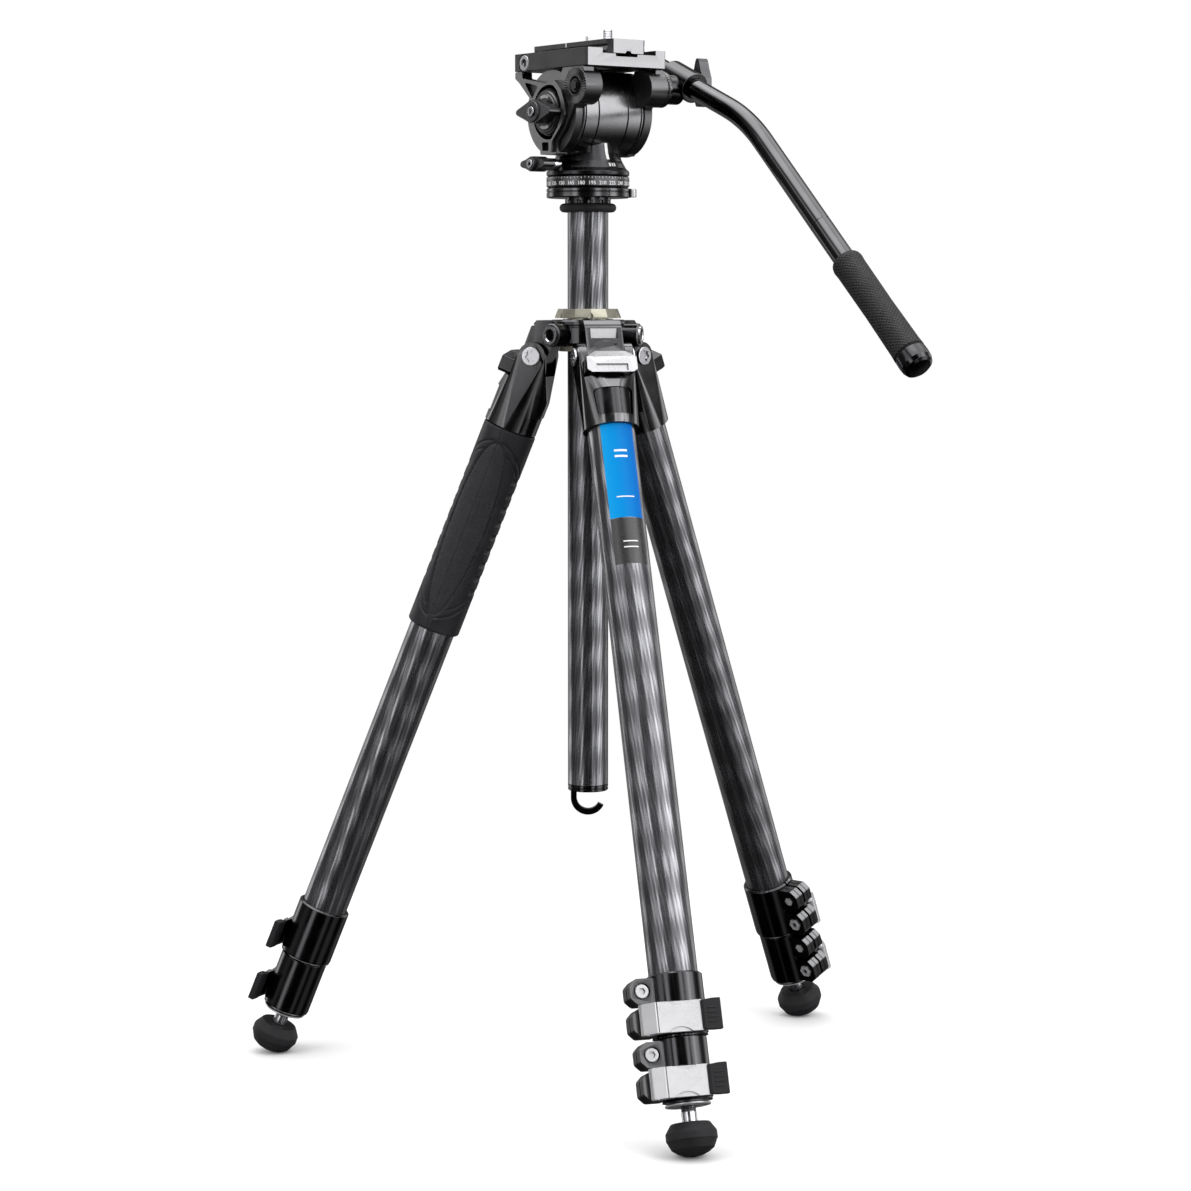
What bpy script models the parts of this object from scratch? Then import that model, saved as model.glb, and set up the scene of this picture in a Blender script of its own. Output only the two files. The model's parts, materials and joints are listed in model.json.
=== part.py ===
"""Three-section carbon tripod with a two-way fluid head, one object for each piece.

Frame: +Z up, +Y is where a camera on the head looks, +X is the operator's right.
The origin is on the floor, under the middle of the whole object's footprint.
Sizes are written in millimetres and MM turns them into metres.
"""

import math

import bmesh
import bpy
from mathutils import Matrix, Vector

MM = 0.001

# Stance
AXIS_X = -32.9  # the centre column, from the footprint's middle
AXIS_Y = 39.0
LEG_AZIMUTHS = {"right": 10.5, "front": 130.5, "rear": 250.5}
LEG_SPLAY = 22.0
PIVOT_RADIUS = 35.2
PIVOT_HEIGHT = 501.0

# Leg tubes: outer radius, wall, and where each starts and ends, measured down the leg from the pivot
UPPER_TUBE = {"radius": 16.0, "wall": 1.5, "top": 24.4, "bottom": 440.0}
MID_TUBE = {"radius": 14.0, "wall": 1.3, "top": 62.0, "bottom": 495.0}
LOWER_TUBE = {"radius": 12.5, "wall": 1.2, "top": 75.0, "bottom": 506.8}

# Clamps: top and bottom down the leg, outer radius, how far the ears reach
UPPER_CLAMP = {"top": 423.0, "bottom": 463.0, "radius": 18.4, "reach": 32.5, "seat": 440.4}
LOWER_CLAMP = {"top": 463.6, "bottom": 503.8, "radius": 16.7, "reach": 30.5, "seat": 495.4}
EAR_HALF = 8.3
EAR_SPLIT = 1.2

KNUCKLE_RADIUS = 19.0
KNUCKLE_BOTTOM = 53.0
EAR_RADIUS = 9.5
EAR_OUTER = 19.2
TONGUE_HALF = 13.0
TONGUE_FACE = 3.3  # how far its flat upper face stands outside the pivot
TAB_SWEEP = 10.2  # the angle tab passes outside this radius as the leg opens
PIN_RADIUS = 3.5
PIN_HOLE = 3.9
GRIP_TOP = 53.6
GRIP_BOTTOM = 205.0
GRIP_RADIUS = 18.75

PLUG_RADIUS = 14.8
PLUG_TOP = 485.0
STUD_RADIUS = 5.0
STUD_TOP = 489.0
FOOT_TOP = 517.4
FOOT_RADIUS = 16.5
FOOT_DOME = 20.0

# Shoulder and centre column
HUB_RADIUS = 26.0
HUB_BOTTOM = 509.0
HUB_TOP = 526.0
PORT_HEIGHT = 515.5
PORT_REACH = 38.0
COLUMN_RADIUS = 14.0
COLUMN_WALL = 1.6
COLUMN_BOTTOM = 203.9
COLUMN_TOP = 600.0
COLLAR_BOTTOM = 527.0
COLLAR_TOP = 533.4
DISC_RADIUS = 28.4

# Fluid head
TILT_HEIGHT = 666.0
DRUM_RADIUS = 29.0
DRUM_LEFT = -24.2
DRUM_RIGHT = 26.5
SHAFT_RADIUS = 6.0
ARM_LEFT_INNER = -24.8
ARM_LEFT_OUTER = -33.0
ARM_RIGHT_INNER = 27.1
ARM_RIGHT_OUTER = 33.0
CHEEK_RADIUS = 28.8
BOSS_Y = -32.7
BOSS_HEIGHT = 682.3
BOSS_RADIUS = 12.5
DECK_HALF = 33.5
DECK_REAR = -44.5
DECK_FRONT = 40.5
DECK_BOTTOM = 695.3
DECK_TOP = 707.0
CHANNEL_FLOOR = 703.6
PLATE_HALF = 16.0
PLATE_CORNER = 3.6
PLATE_REAR = -46.6
PLATE_FRONT = 44.5
PLATE_BOTTOM = 703.9
PLATE_TOP = 713.3
SCREW_Y = -23.0
CLAMP_ROD_Y = 31.5
CLAMP_ROD_HEIGHT = 698.6
PAN_KNOB_HEIGHT = 631.0

# Handle, in a plane beside the head
HANDLE_X = 57.0
HANDLE_HEIGHT = 688.2
HANDLE_RADIUS = 7.2
HANDLE_TAIL = 40.0
HANDLE_SLOPE = 22.0
HANDLE_DROP = 43.2
HANDLE_CORNER = 76.0
HANDLE_BEND = 120.0
HANDLE_REACH = 238.5
HAND_GRIP_LENGTH = 99.5

SIDES = 20
SMALL_SIDES = 14
WIDE_SIDES = 24
OVER = 1.0  # how far a cutter runs past the wall it cuts

ALONG_X = (0.0, math.radians(90), 0.0)
ALONG_MINUS_X = (0.0, math.radians(-90), 0.0)
SIDE_VIEW = (math.radians(90), 0.0, math.radians(90))  # an outline's x, y become +Y, +Z
FRONT_VIEW = (math.radians(90), 0.0, 0.0)  # an outline's x, y become +X, +Z


# ---------------------------------------------------------------- scene and materials

def clear_scene():
    for obj in list(bpy.data.objects):
        bpy.data.objects.remove(obj, do_unlink=True)


def make_collection(name):
    collection = bpy.data.collections.new(name)
    bpy.context.scene.collection.children.link(collection)
    return collection


def make_material(name, colour, metallic, roughness):
    material = bpy.data.materials.new(name)
    material.use_nodes = True
    shader = material.node_tree.nodes["Principled BSDF"]
    shader.inputs["Base Color"].default_value = (*colour, 1.0)
    shader.inputs["Metallic"].default_value = metallic
    shader.inputs["Roughness"].default_value = roughness
    material.diffuse_color = (*colour, 1.0)
    return material


clear_scene()
PARTS = make_collection("tripod_with_fluid_head")
CUTTERS = make_collection("cutters")
CARBON = make_material("carbon_fibre", (0.10, 0.10, 0.11), 0.2, 0.25)
BLACK = make_material("black_anodised", (0.02, 0.02, 0.022), 0.6, 0.35)
SILVER = make_material("silver_anodised", (0.75, 0.75, 0.76), 0.9, 0.3)
STEEL = make_material("stainless_steel", (0.7, 0.7, 0.7), 1.0, 0.25)
CHAMPAGNE = make_material("champagne_anodised", (0.62, 0.60, 0.52), 0.7, 0.35)
RUBBER = make_material("rubber", (0.025, 0.025, 0.025), 0.0, 0.8)
FOAM = make_material("foam_grip", (0.05, 0.05, 0.052), 0.0, 0.9)


# ---------------------------------------------------------------- building blocks

def empty(name, parent, at, turn=(0.0, 0.0, 0.0)):
    """A joint or assembly frame; at is in millimetres and turn in radians."""
    obj = bpy.data.objects.new(name, None)
    PARTS.objects.link(obj)
    obj.parent = parent
    obj.location = Vector(at) * MM
    obj.rotation_euler = turn
    return obj


def add_object(name, mesh, material, parent, at, turn):
    obj = bpy.data.objects.new(name, mesh)
    if material:
        mesh.materials.append(material)
        PARTS.objects.link(obj)
    else:
        CUTTERS.objects.link(obj)
        obj.hide_render = True
        obj.display_type = "WIRE"
    obj.parent = parent
    obj.location = Vector(at) * MM
    obj.rotation_euler = turn
    return obj


def finish_mesh(name, bm):
    """A mesh in metres, smooth across shallow edges, from a bmesh in millimetres."""
    bmesh.ops.scale(bm, vec=(MM, MM, MM), verts=bm.verts)
    bmesh.ops.recalc_face_normals(bm, faces=bm.faces)
    mesh = bpy.data.meshes.new(name)
    bm.to_mesh(mesh)
    bm.free()
    mesh.shade_smooth()
    mesh.set_sharp_from_angle(angle=math.radians(35))
    return mesh


def turned(name, profile, material, parent, at=(0, 0, 0), turn=(0, 0, 0), sides=SIDES, closed=False):
    """A profile of (radius, height) points, top to bottom down its outer side, turned about Z."""
    bm = bmesh.new()
    points = [bm.verts.new((r * MM, 0.0, z * MM)) for r, z in profile]
    for first, second in zip(points, points[1:]):
        bm.edges.new((first, second))
    if closed:
        bm.edges.new((points[-1], points[0]))
    mesh = bpy.data.meshes.new(name)
    bm.to_mesh(mesh)
    bm.free()
    obj = add_object(name, mesh, material, parent, at, turn)
    screw = obj.modifiers.new("Turn", "SCREW")
    screw.steps = sides
    screw.render_steps = sides
    screw.use_merge_vertices = True
    screw.merge_threshold = 1e-5
    screw.use_smooth_shade = True
    return obj


def ring(name, inner, outer, bottom, top, material, parent, sides=SIDES, at=(0, 0, 0), turn=(0, 0, 0)):
    profile = [(inner, top), (outer, top), (outer, bottom), (inner, bottom)]
    return turned(name, profile, material, parent, at, turn, sides, closed=True)


def cylinder(name, radius, bottom, top, material, parent, at=(0, 0, 0), turn=(0, 0, 0), sides=SIDES):
    """A solid cylinder along its own Z, from bottom to top."""
    bm = bmesh.new()
    middle = Matrix.Translation((0, 0, (bottom + top) / 2))
    bmesh.ops.create_cone(bm, cap_ends=True, segments=sides, radius1=radius, radius2=radius,
                          depth=top - bottom, matrix=middle)
    return add_object(name, finish_mesh(name, bm), material, parent, at, turn)


def box(name, low, high, material, parent, at=(0, 0, 0), turn=(0, 0, 0)):
    bm = bmesh.new()
    low = Vector(low)
    high = Vector(high)
    size = high - low
    bmesh.ops.create_cube(bm, size=1.0)
    bmesh.ops.scale(bm, vec=size, verts=bm.verts)
    bmesh.ops.translate(bm, vec=(low + high) / 2, verts=bm.verts)
    return add_object(name, finish_mesh(name, bm), material, parent, at, turn)


def extruded(name, outline, bottom, top, material, parent, at=(0, 0, 0), turn=(0, 0, 0)):
    """A flat outline of (x, y) points, made thick along its own Z from bottom to top."""
    curve = bpy.data.curves.new(name, "CURVE")
    curve.dimensions = "2D"
    curve.fill_mode = "BOTH"
    curve.extrude = (top - bottom) / 2 * MM
    spline = curve.splines.new("POLY")
    spline.points.add(len(outline) - 1)
    for point, (x, y) in zip(spline.points, outline):
        point.co = (x * MM, y * MM, 0.0, 1.0)
    spline.use_cyclic_u = True
    return add_object(name, curve_mesh(name, curve, (bottom + top) / 2 * MM), material, parent, at, turn)


def curve_mesh(name, curve, lift=0.0):
    """The closed mesh of a curve with its caps welded on."""
    guide = bpy.data.objects.new(name + "_guide", curve)
    bpy.context.scene.collection.objects.link(guide)
    graph = bpy.context.evaluated_depsgraph_get()
    mesh = bpy.data.meshes.new_from_object(guide.evaluated_get(graph))
    mesh.name = name
    bpy.data.objects.remove(guide, do_unlink=True)
    bm = bmesh.new()
    bm.from_mesh(mesh)
    bmesh.ops.remove_doubles(bm, verts=bm.verts, dist=1e-6)
    bmesh.ops.translate(bm, vec=(0, 0, lift), verts=bm.verts)
    bmesh.ops.recalc_face_normals(bm, faces=bm.faces)
    bm.to_mesh(mesh)
    bm.free()
    mesh.materials.clear()
    mesh.shade_smooth()
    mesh.set_sharp_from_angle(angle=math.radians(35))
    return mesh


def hull(name, circles, corners, material, parent, at=(0, 0, 0), turn=(0, 0, 0)):
    """The tight skin over circles, each (radius, centre, axis turn), and corner points."""
    bm = bmesh.new()
    for radius, centre, axis_turn in circles:
        matrix = Matrix.Translation(centre) @ axis_turn
        bmesh.ops.create_circle(bm, segments=SIDES, radius=radius, matrix=matrix)
    for corner in corners:
        bm.verts.new(corner)
    made = bmesh.ops.convex_hull(bm, input=bm.verts)
    spare = {v for v in made["geom_interior"] + made["geom_unused"] if isinstance(v, bmesh.types.BMVert)}
    bmesh.ops.delete(bm, geom=list(spare), context="VERTS")
    return add_object(name, finish_mesh(name, bm), material, parent, at, turn)


def combine(obj, tools, operation):
    for tool in tools:
        boolean = obj.modifiers.new(tool.name, "BOOLEAN")
        boolean.operation = operation
        boolean.object = tool


def join(obj, *tools):
    combine(obj, tools, "UNION")


def cut(obj, *tools):
    combine(obj, tools, "DIFFERENCE")


def wing_outline(half_length, hub, tip):
    """A two-winged knob seen along its axis: thick at the hub, tapering to round tips, long along Y."""
    side = [(hub, 0.0), (hub * 0.85, 0.25 * half_length), (hub * 0.55, 0.6 * half_length), (tip, half_length - tip)]
    round_tip = [
        (tip * math.cos(a), half_length - tip + tip * math.sin(a))
        for a in (math.pi / 4, math.pi / 2, 3 * math.pi / 4)
    ]
    upper = side + round_tip + [(-x, y) for x, y in reversed(side[1:])]
    return upper + [(-x, -y) for x, y in upper]


def lock_knob(name, parent, turn, shaft, hub, wing):
    """A winged knob; shaft and hub are (radius, start, end) along the axis and wing (half length, start, end)."""
    radius, start, end = hub
    knob = turned(name, [(0, end), (radius * 0.8, end), (radius, end - 1.2), (radius, start), (0, start)],
                  BLACK, parent, turn=turn, sides=SMALL_SIDES)
    rod_radius, rod_start, rod_end = shaft
    rod = cylinder(name + "_shaft", rod_radius, rod_start, rod_end, None, parent, turn=turn, sides=SMALL_SIDES)
    half_length, wing_start, wing_end = wing
    wings = extruded(name + "_wings", wing_outline(half_length, radius * 1.12, 2.4), wing_start, wing_end,
                     None, parent, turn=turn)
    join(knob, rod, wings)
    return knob


# ---------------------------------------------------------------- legs

def make_knuckle(side, leg):
    """The forked casting that holds the upper tube and turns on the shoulder's tongue."""
    name = f"leg_{side}_knuckle"
    across = Matrix.Rotation(math.radians(90), 4, "Y")
    flat = Matrix.Identity(4)
    circles = [
        (EAR_RADIUS, (-EAR_OUTER, 0, 0), across),
        (EAR_RADIUS, (EAR_OUTER, 0, 0), across),
        (KNUCKLE_RADIUS, (0, 0, -28), flat),
        (KNUCKLE_RADIUS, (0, 0, -KNUCKLE_BOTTOM), flat),
    ]
    knuckle = hull(name, circles, [], BLACK, leg)
    bore = cylinder(name + "_bore", UPPER_TUBE["radius"] + 0.4, -KNUCKLE_BOTTOM - OVER, -24.0, None, leg)
    slot = box(name + "_slot", (-TONGUE_HALF - 0.4, -30, -10), (TONGUE_HALF + 0.4, 30, 30), None, leg)
    pocket = box(name + "_pocket", (-18.1, 10.1, -18.4), (18.1, 30, 14), None, leg)
    pin_hole = cylinder(name + "_pin_hole", PIN_HOLE, -30, 30, None, leg, turn=ALONG_X, sides=SMALL_SIDES)
    cut(knuckle, bore, slot, pocket, pin_hole)


def make_pivot_bolt(side, leg):
    head = 6.3
    outer = EAR_OUTER + 2.0
    inner = EAR_OUTER + 0.3
    profile = [(0, outer), (head - 0.8, outer), (head, outer - 0.8), (head, inner), (PIN_RADIUS, inner),
               (PIN_RADIUS, -inner), (head, -inner), (head, 0.8 - outer), (head - 0.8, -outer), (0, -outer)]
    turned(f"leg_{side}_pivot_bolt", profile, STEEL, leg, turn=ALONG_X, sides=SMALL_SIDES)


def make_angle_tab(side, leg):
    """The pull-out stop on the leg's outer side, which sets how far the leg may open."""
    frame = empty(f"leg_{side}_tab_slide", leg, (0, 0, 0))
    outline = [(-11, -2.2), (11, -2.2), (17.6, -7), (17.6, -16), (15, -18), (-15, -18), (-17.6, -16), (-17.6, -7)]
    tab = extruded(f"leg_{side}_angle_tab", outline, -19.8, -10.4, SILVER, frame, turn=FRONT_VIEW)
    recess = box(f"leg_{side}_tab_recess", (-9, 18.3, -15.5), (9, 22, -10), None, frame)
    cut(tab, recess)


def make_tube(name, tube, parent):
    ring(name, tube["radius"] - tube["wall"], tube["radius"], -tube["bottom"], -tube["top"], CARBON, parent)


def make_clamp(name, clamp, outer_tube, inner_tube, parent):
    """A split collar: it grips the outer tube, and its two pairs of ears pinch the tube that slides in it."""
    top = -clamp["top"]
    seat = -clamp["seat"]
    bottom = -clamp["bottom"]
    wide = outer_tube["radius"] + 0.35
    narrow = inner_tube["radius"] + 0.4
    radius = clamp["radius"]
    collar = cylinder(name, radius, bottom, top, BLACK, parent)
    root = radius - 3.0
    reach = clamp["reach"]
    for part, high, low in (("upper", top - 2.0, top - 18.5), ("lower", top - 21.0, bottom + 1.0)):
        clip = 4.0
        outline = [(root, low), (reach - clip, low), (reach, low + clip), (reach, high - clip),
                   (reach - clip, high), (root, high)]
        join(collar, extruded(f"{name}_{part}_ear", outline, -EAR_HALF, EAR_HALF, None, parent, turn=FRONT_VIEW))
    split = box(name + "_split", (narrow - 2, -EAR_SPLIT, bottom - OVER), (reach + OVER, EAR_SPLIT, top + OVER),
                None, parent)
    socket = cylinder(name + "_socket", wide, seat, top + OVER, None, parent)
    throat = cylinder(name + "_throat", narrow, bottom - OVER, seat + OVER, None, parent)
    cut(collar, socket, throat, split)


def make_lever(name, clamp, parent):
    """The cam lever: from its pin beside the lower ears it wraps the collar's front to a thumb tip."""
    skin = clamp["radius"] + 0.45
    pin_x = clamp["reach"] - 7.0
    pin_y = EAR_HALF + 4.2
    frame = empty(name + "_pin", parent, (pin_x, pin_y, 0))
    eye = [math.radians(angle) for angle in (225, 255, 285, 315, 345, 15, 45, 75)]
    barrel = [(3.8 * math.cos(angle), 3.8 * math.sin(angle)) for angle in eye]
    plate = [(pin_x - 4, skin + 2.8), (-12, skin + 3.6), (-14, skin + 6.4), (-26.5, skin + 6.0),
             (-26.5, skin + 2.0), (-16, skin + 0.6), (0, skin), (pin_x - 11, skin), (pin_x - 7, skin - 4.5)]
    outline = barrel + [(x - pin_x, y - pin_y) for x, y in plate]
    top = -clamp["top"] - 19.5
    extruded(name, outline, top - 20.0, top, SILVER, frame)


def make_lower_tube(side, parent):
    """The last tube with the flanged plug that the foot screws into."""
    name = f"leg_{side}_lower_tube"
    outer = LOWER_TUBE["radius"]
    inner = outer - LOWER_TUBE["wall"]
    flange = LOWER_CLAMP["bottom"] + 0.4
    bottom = LOWER_TUBE["bottom"]
    hole = STUD_RADIUS + 0.35
    top = LOWER_TUBE["top"]
    profile = [(0, -PLUG_TOP), (inner, -PLUG_TOP), (inner, -top), (outer, -top), (outer, -flange),
               (PLUG_RADIUS, -flange), (PLUG_RADIUS, -bottom), (hole, -bottom), (hole, -STUD_TOP + 1),
               (0, -STUD_TOP + 1)]
    turned(name, profile, CARBON, parent)


def make_foot(side, parent):
    """The screw-in foot: a steel stud and the domed rubber foot moulded round its end."""
    stud_end = FOOT_TOP + 4.0
    turned(f"leg_{side}_foot_stud",
           [(0, -STUD_TOP), (STUD_RADIUS, -STUD_TOP), (STUD_RADIUS, -stud_end), (0, -stud_end)],
           STEEL, parent, sides=SMALL_SIDES)
    drop = math.cos(math.radians(LEG_SPLAY))
    dome_centre = (PIVOT_HEIGHT - FOOT_DOME) / drop
    start = math.acos(FOOT_RADIUS / FOOT_DOME)
    steps = 6
    dome = []
    for step in range(steps + 1):
        angle = start + (math.pi / 2 - start) * step / steps
        dome.append((FOOT_DOME * math.cos(angle), -dome_centre - FOOT_DOME * math.sin(angle)))
    dome[-1] = (0.0, dome[-1][1])
    hole = STUD_RADIUS + 0.35
    blind = stud_end + 0.35
    profile = [(0, -blind), (hole, -blind), (hole, -FOOT_TOP), (13.2, -FOOT_TOP), (FOOT_RADIUS, -FOOT_TOP - 6)]
    turned(f"leg_{side}_foot", profile + dome, RUBBER, parent)


def make_leg(side, azimuth, column_axis):
    """One leg in its own frame: origin on the pivot pin, +X along the pin, +Y outwards, the foot towards -Z."""
    angle = math.radians(azimuth)
    at = (PIVOT_RADIUS * math.cos(angle), PIVOT_RADIUS * math.sin(angle), PIVOT_HEIGHT)
    leg = empty(f"leg_{side}_pivot", column_axis, at, (math.radians(LEG_SPLAY), 0.0, angle - math.pi / 2))
    leg.rotation_mode = "XYZ"
    make_knuckle(side, leg)
    make_pivot_bolt(side, leg)
    make_angle_tab(side, leg)
    make_tube(f"leg_{side}_upper_tube", UPPER_TUBE, leg)
    make_clamp(f"leg_{side}_upper_clamp", UPPER_CLAMP, UPPER_TUBE, MID_TUBE, leg)
    make_lever(f"leg_{side}_upper_lever", UPPER_CLAMP, leg)
    middle = empty(f"leg_{side}_mid_slide", leg, (0, 0, 0))
    make_tube(f"leg_{side}_mid_tube", MID_TUBE, middle)
    make_clamp(f"leg_{side}_lower_clamp", LOWER_CLAMP, MID_TUBE, LOWER_TUBE, middle)
    make_lever(f"leg_{side}_lower_lever", LOWER_CLAMP, middle)
    lower = empty(f"leg_{side}_lower_slide", middle, (0, 0, 0))
    make_lower_tube(side, lower)
    foot = empty(f"leg_{side}_foot_screw", lower, (0, 0, 0))
    make_foot(side, foot)
    return leg


def make_foam_grip(leg):
    inner = UPPER_TUBE["radius"] + 0.3
    profile = [(inner, -GRIP_TOP), (GRIP_RADIUS - 1, -GRIP_TOP), (GRIP_RADIUS, -GRIP_TOP - 2),
               (GRIP_RADIUS, -GRIP_BOTTOM + 2), (GRIP_RADIUS - 1, -GRIP_BOTTOM), (inner, -GRIP_BOTTOM)]
    turned("leg_front_foam_grip", profile, FOAM, leg, closed=True)


# ---------------------------------------------------------------- shoulder and centre column

def make_shoulder(column_axis):
    """The hub casting with three drooping tongues for the legs and three accessory ports between them."""
    shoulder = ring("shoulder", 15.0, HUB_RADIUS, HUB_BOTTOM, HUB_TOP, BLACK, column_axis, sides=WIDE_SIDES)
    across = Matrix.Rotation(math.radians(90), 4, "Y")
    for side, azimuth in LEG_AZIMUTHS.items():
        turn = (0.0, 0.0, math.radians(azimuth - 90))
        circles = [(9.0, (x, PIVOT_RADIUS, PIVOT_HEIGHT), across) for x in (-TONGUE_HALF, TONGUE_HALF)]
        corners = []
        for x in (-TONGUE_HALF, TONGUE_HALF):
            corners += [(x, 22, HUB_BOTTOM), (x, 22, HUB_TOP - 0.4)]
            corners += [(x, PIVOT_RADIUS + 2, 512), (x, PIVOT_RADIUS + 2, 521), (x, PIVOT_RADIUS - 2, HUB_TOP - 0.4)]
        join(shoulder, hull(f"shoulder_tongue_{side}", circles, corners, None, column_axis, turn=turn))
        port = math.radians(azimuth + 60)
        port_turn = (0.0, math.radians(90), port)
        at = (0, 0, PORT_HEIGHT)
        join(shoulder, cylinder(f"shoulder_port_{side}", 8.0, 20.0, PORT_REACH - 2, None, column_axis, at, port_turn))
        join(shoulder, cylinder(f"shoulder_port_ring_{side}", 6.2, 20.0, PORT_REACH, None, column_axis, at,
                                port_turn, sides=SMALL_SIDES))
    cut(shoulder, cylinder("shoulder_bore", 17.6, HUB_BOTTOM - 20, HUB_TOP + OVER, None, column_axis, sides=WIDE_SIDES))
    for side, azimuth in LEG_AZIMUTHS.items():
        angle = math.radians(azimuth)
        at = (PIVOT_RADIUS * math.cos(angle), PIVOT_RADIUS * math.sin(angle), PIVOT_HEIGHT)
        pin_turn = (0.0, math.radians(90), angle - math.pi / 2)
        cut(shoulder, cylinder(f"shoulder_pin_hole_{side}", PIN_HOLE, -20, 20, None, column_axis, at, pin_turn,
                               sides=SMALL_SIDES))
        room = box(f"shoulder_tab_room_{side}", (-TONGUE_HALF - OVER, TONGUE_FACE, -5),
                   (TONGUE_HALF + OVER, 20, HUB_TOP - PIVOT_HEIGHT + OVER), None, column_axis, at,
                   (0.0, 0.0, angle - math.pi / 2))
        cut(room, cylinder(f"shoulder_tab_sweep_{side}", TAB_SWEEP, -25, 25, None, column_axis, at, pin_turn))
        cut(shoulder, room)
        port_turn = (0.0, math.radians(90), math.radians(azimuth + 60))
        cut(shoulder, cylinder(f"shoulder_port_hole_{side}", 4.0, PORT_REACH - 12, PORT_REACH + OVER, None,
                               column_axis, (0, 0, PORT_HEIGHT), port_turn, sides=SMALL_SIDES))


def make_column(column_axis, column):
    """The bush and its locking collar, and the sliding column with its hook, top plate and bumper."""
    slip = COLUMN_RADIUS + 0.4
    turned("column_bush", [(slip, 526.6), (17.2, 526.6), (17.2, 508.6), (20, 508.6), (20, 504.3), (slip, 504.3)],
           CHAMPAGNE, column_axis, closed=True)
    collar_frame = empty("collar_turn", column_axis, (0, 0, 0))
    turned("column_lock_collar",
           [(15.0, COLLAR_TOP), (20.0, COLLAR_TOP), (22.8, COLLAR_BOTTOM + 1.2), (22.8, COLLAR_BOTTOM),
            (15.0, COLLAR_BOTTOM)],
           CHAMPAGNE, collar_frame, sides=12, closed=True)
    ring("column_tube", COLUMN_RADIUS - COLUMN_WALL, COLUMN_RADIUS, COLUMN_BOTTOM, COLUMN_TOP, CARBON, column)
    make_hook(column)
    plug = COLUMN_RADIUS - COLUMN_WALL - 0.4
    plate = turned("column_top_plate",
                   [(0, 622), (4.8, 622), (4.8, 615.6), (DISC_RADIUS, 615.6), (DISC_RADIUS, 608.8), (15.7, 608.8),
                    (15.7, COLUMN_TOP + 0.4), (plug, COLUMN_TOP + 0.4), (plug, 582), (0, 582)],
                   BLACK, column)
    lug_turn = (0.0, 0.0, math.radians(-36))
    join(plate, box("top_plate_lug", (22, -4, 609.2), (33.6, 4, 615.2), None, column, turn=lug_turn))
    turned("column_bumper", [(16.1, 605.0), (18, 605.4), (19.5, 603.4), (19.5, 601), (18, 599), (16.1, 599.4)],
           RUBBER, column, closed=True)


def make_hook(column):
    """The column's end plug with a flat strap hook below it."""
    plug = COLUMN_RADIUS - COLUMN_WALL - 0.4
    hook = turned("column_hook", [(0, 216), (plug, 216), (plug, 203.5), (COLUMN_RADIUS, 203.5),
                                  (COLUMN_RADIUS, 199.4), (0, 199.4)], BLACK, column)
    centre = 194.0
    outer = 12.0
    inner = 7.8
    sweep = [math.radians(180 + 155 * step / 12) for step in range(13)]
    outside = [(outer * math.cos(a), centre + outer * math.sin(a)) for a in sweep]
    inside = [(inner * math.cos(a), centre + inner * math.sin(a)) for a in reversed(sweep)]
    outline = [(-outer, 201.0)] + outside + inside + [(-inner, 201.0)]
    turn = (math.radians(90), 0.0, math.radians(-36))
    join(hook, extruded("hook_strap", outline, -2.6, 2.6, None, column, turn=turn))


# ---------------------------------------------------------------- fluid head

def make_pan_section(column, pan):
    """The graduated base, and the body that pans on it and carries the tilt drum."""
    turned("head_base", [(0, 634.5), (8, 634.5), (8, 623.2), (DISC_RADIUS, 623.2), (DISC_RADIUS, 616), (5.3, 616),
                         (5.3, 622.5), (0, 622.5)], BLACK, column, sides=WIDE_SIDES)
    neck = [(0, 657), (20, 657), (20.4, 645), (21.8, 639), (24, 633.6), (26.8, 629), (DISC_RADIUS, 627),
            (DISC_RADIUS, 623.6), (8.4, 623.6), (8.4, 635.2), (0, 635.2)]
    body = turned("pan_body", neck, BLACK, pan, sides=WIDE_SIDES)
    groove = DRUM_RADIUS - 0.8
    profile = [(SHAFT_RADIUS + 0.4, DRUM_RIGHT), (DRUM_RADIUS - 0.8, DRUM_RIGHT), (DRUM_RADIUS, DRUM_RIGHT - 0.8)]
    for middle in (13.0, -11.3):
        profile += [(DRUM_RADIUS, middle + 0.8), (groove, middle + 0.5), (groove, middle - 0.5),
                    (DRUM_RADIUS, middle - 0.8)]
    profile += [(DRUM_RADIUS, DRUM_LEFT + 0.8), (DRUM_RADIUS - 0.8, DRUM_LEFT), (SHAFT_RADIUS + 0.4, DRUM_LEFT)]
    drum = turned("tilt_drum", profile, None, pan, (0, 0, TILT_HEIGHT), ALONG_X, sides=WIDE_SIDES, closed=True)
    join(body, drum)
    cut(body, cylinder("pan_screw_hole", 3.9, 10.4, 34, None, pan, (0, 0, PAN_KNOB_HEIGHT), ALONG_MINUS_X,
                       sides=SMALL_SIDES))
    knob_frame = empty("pan_knob_turn", pan, (0, 0, PAN_KNOB_HEIGHT))
    lock_knob("pan_lock_knob", knob_frame, ALONG_MINUS_X, shaft=(3.5, 11.0, 36.0), hub=(4.8, 35.0, 49.0),
              wing=(14.0, 37.0, 47.0))


def arm_outline():
    """A side arm's outline as (y, z), from the bottom up the rear, along the top and down the front."""
    rear = [(-4, 637.6), (-15, 648), (-26, 664), (-38, 672), (-41, 684), (-41, 694.9), (-17, 694.9), (-12, 690)]
    front = [(3, 685.5), (31, 690), (31, 694.9), (39.5, 694.9), (39.5, 690), (25, 673), (15, 648), (4, 637.6)]
    return rear + front


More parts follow.
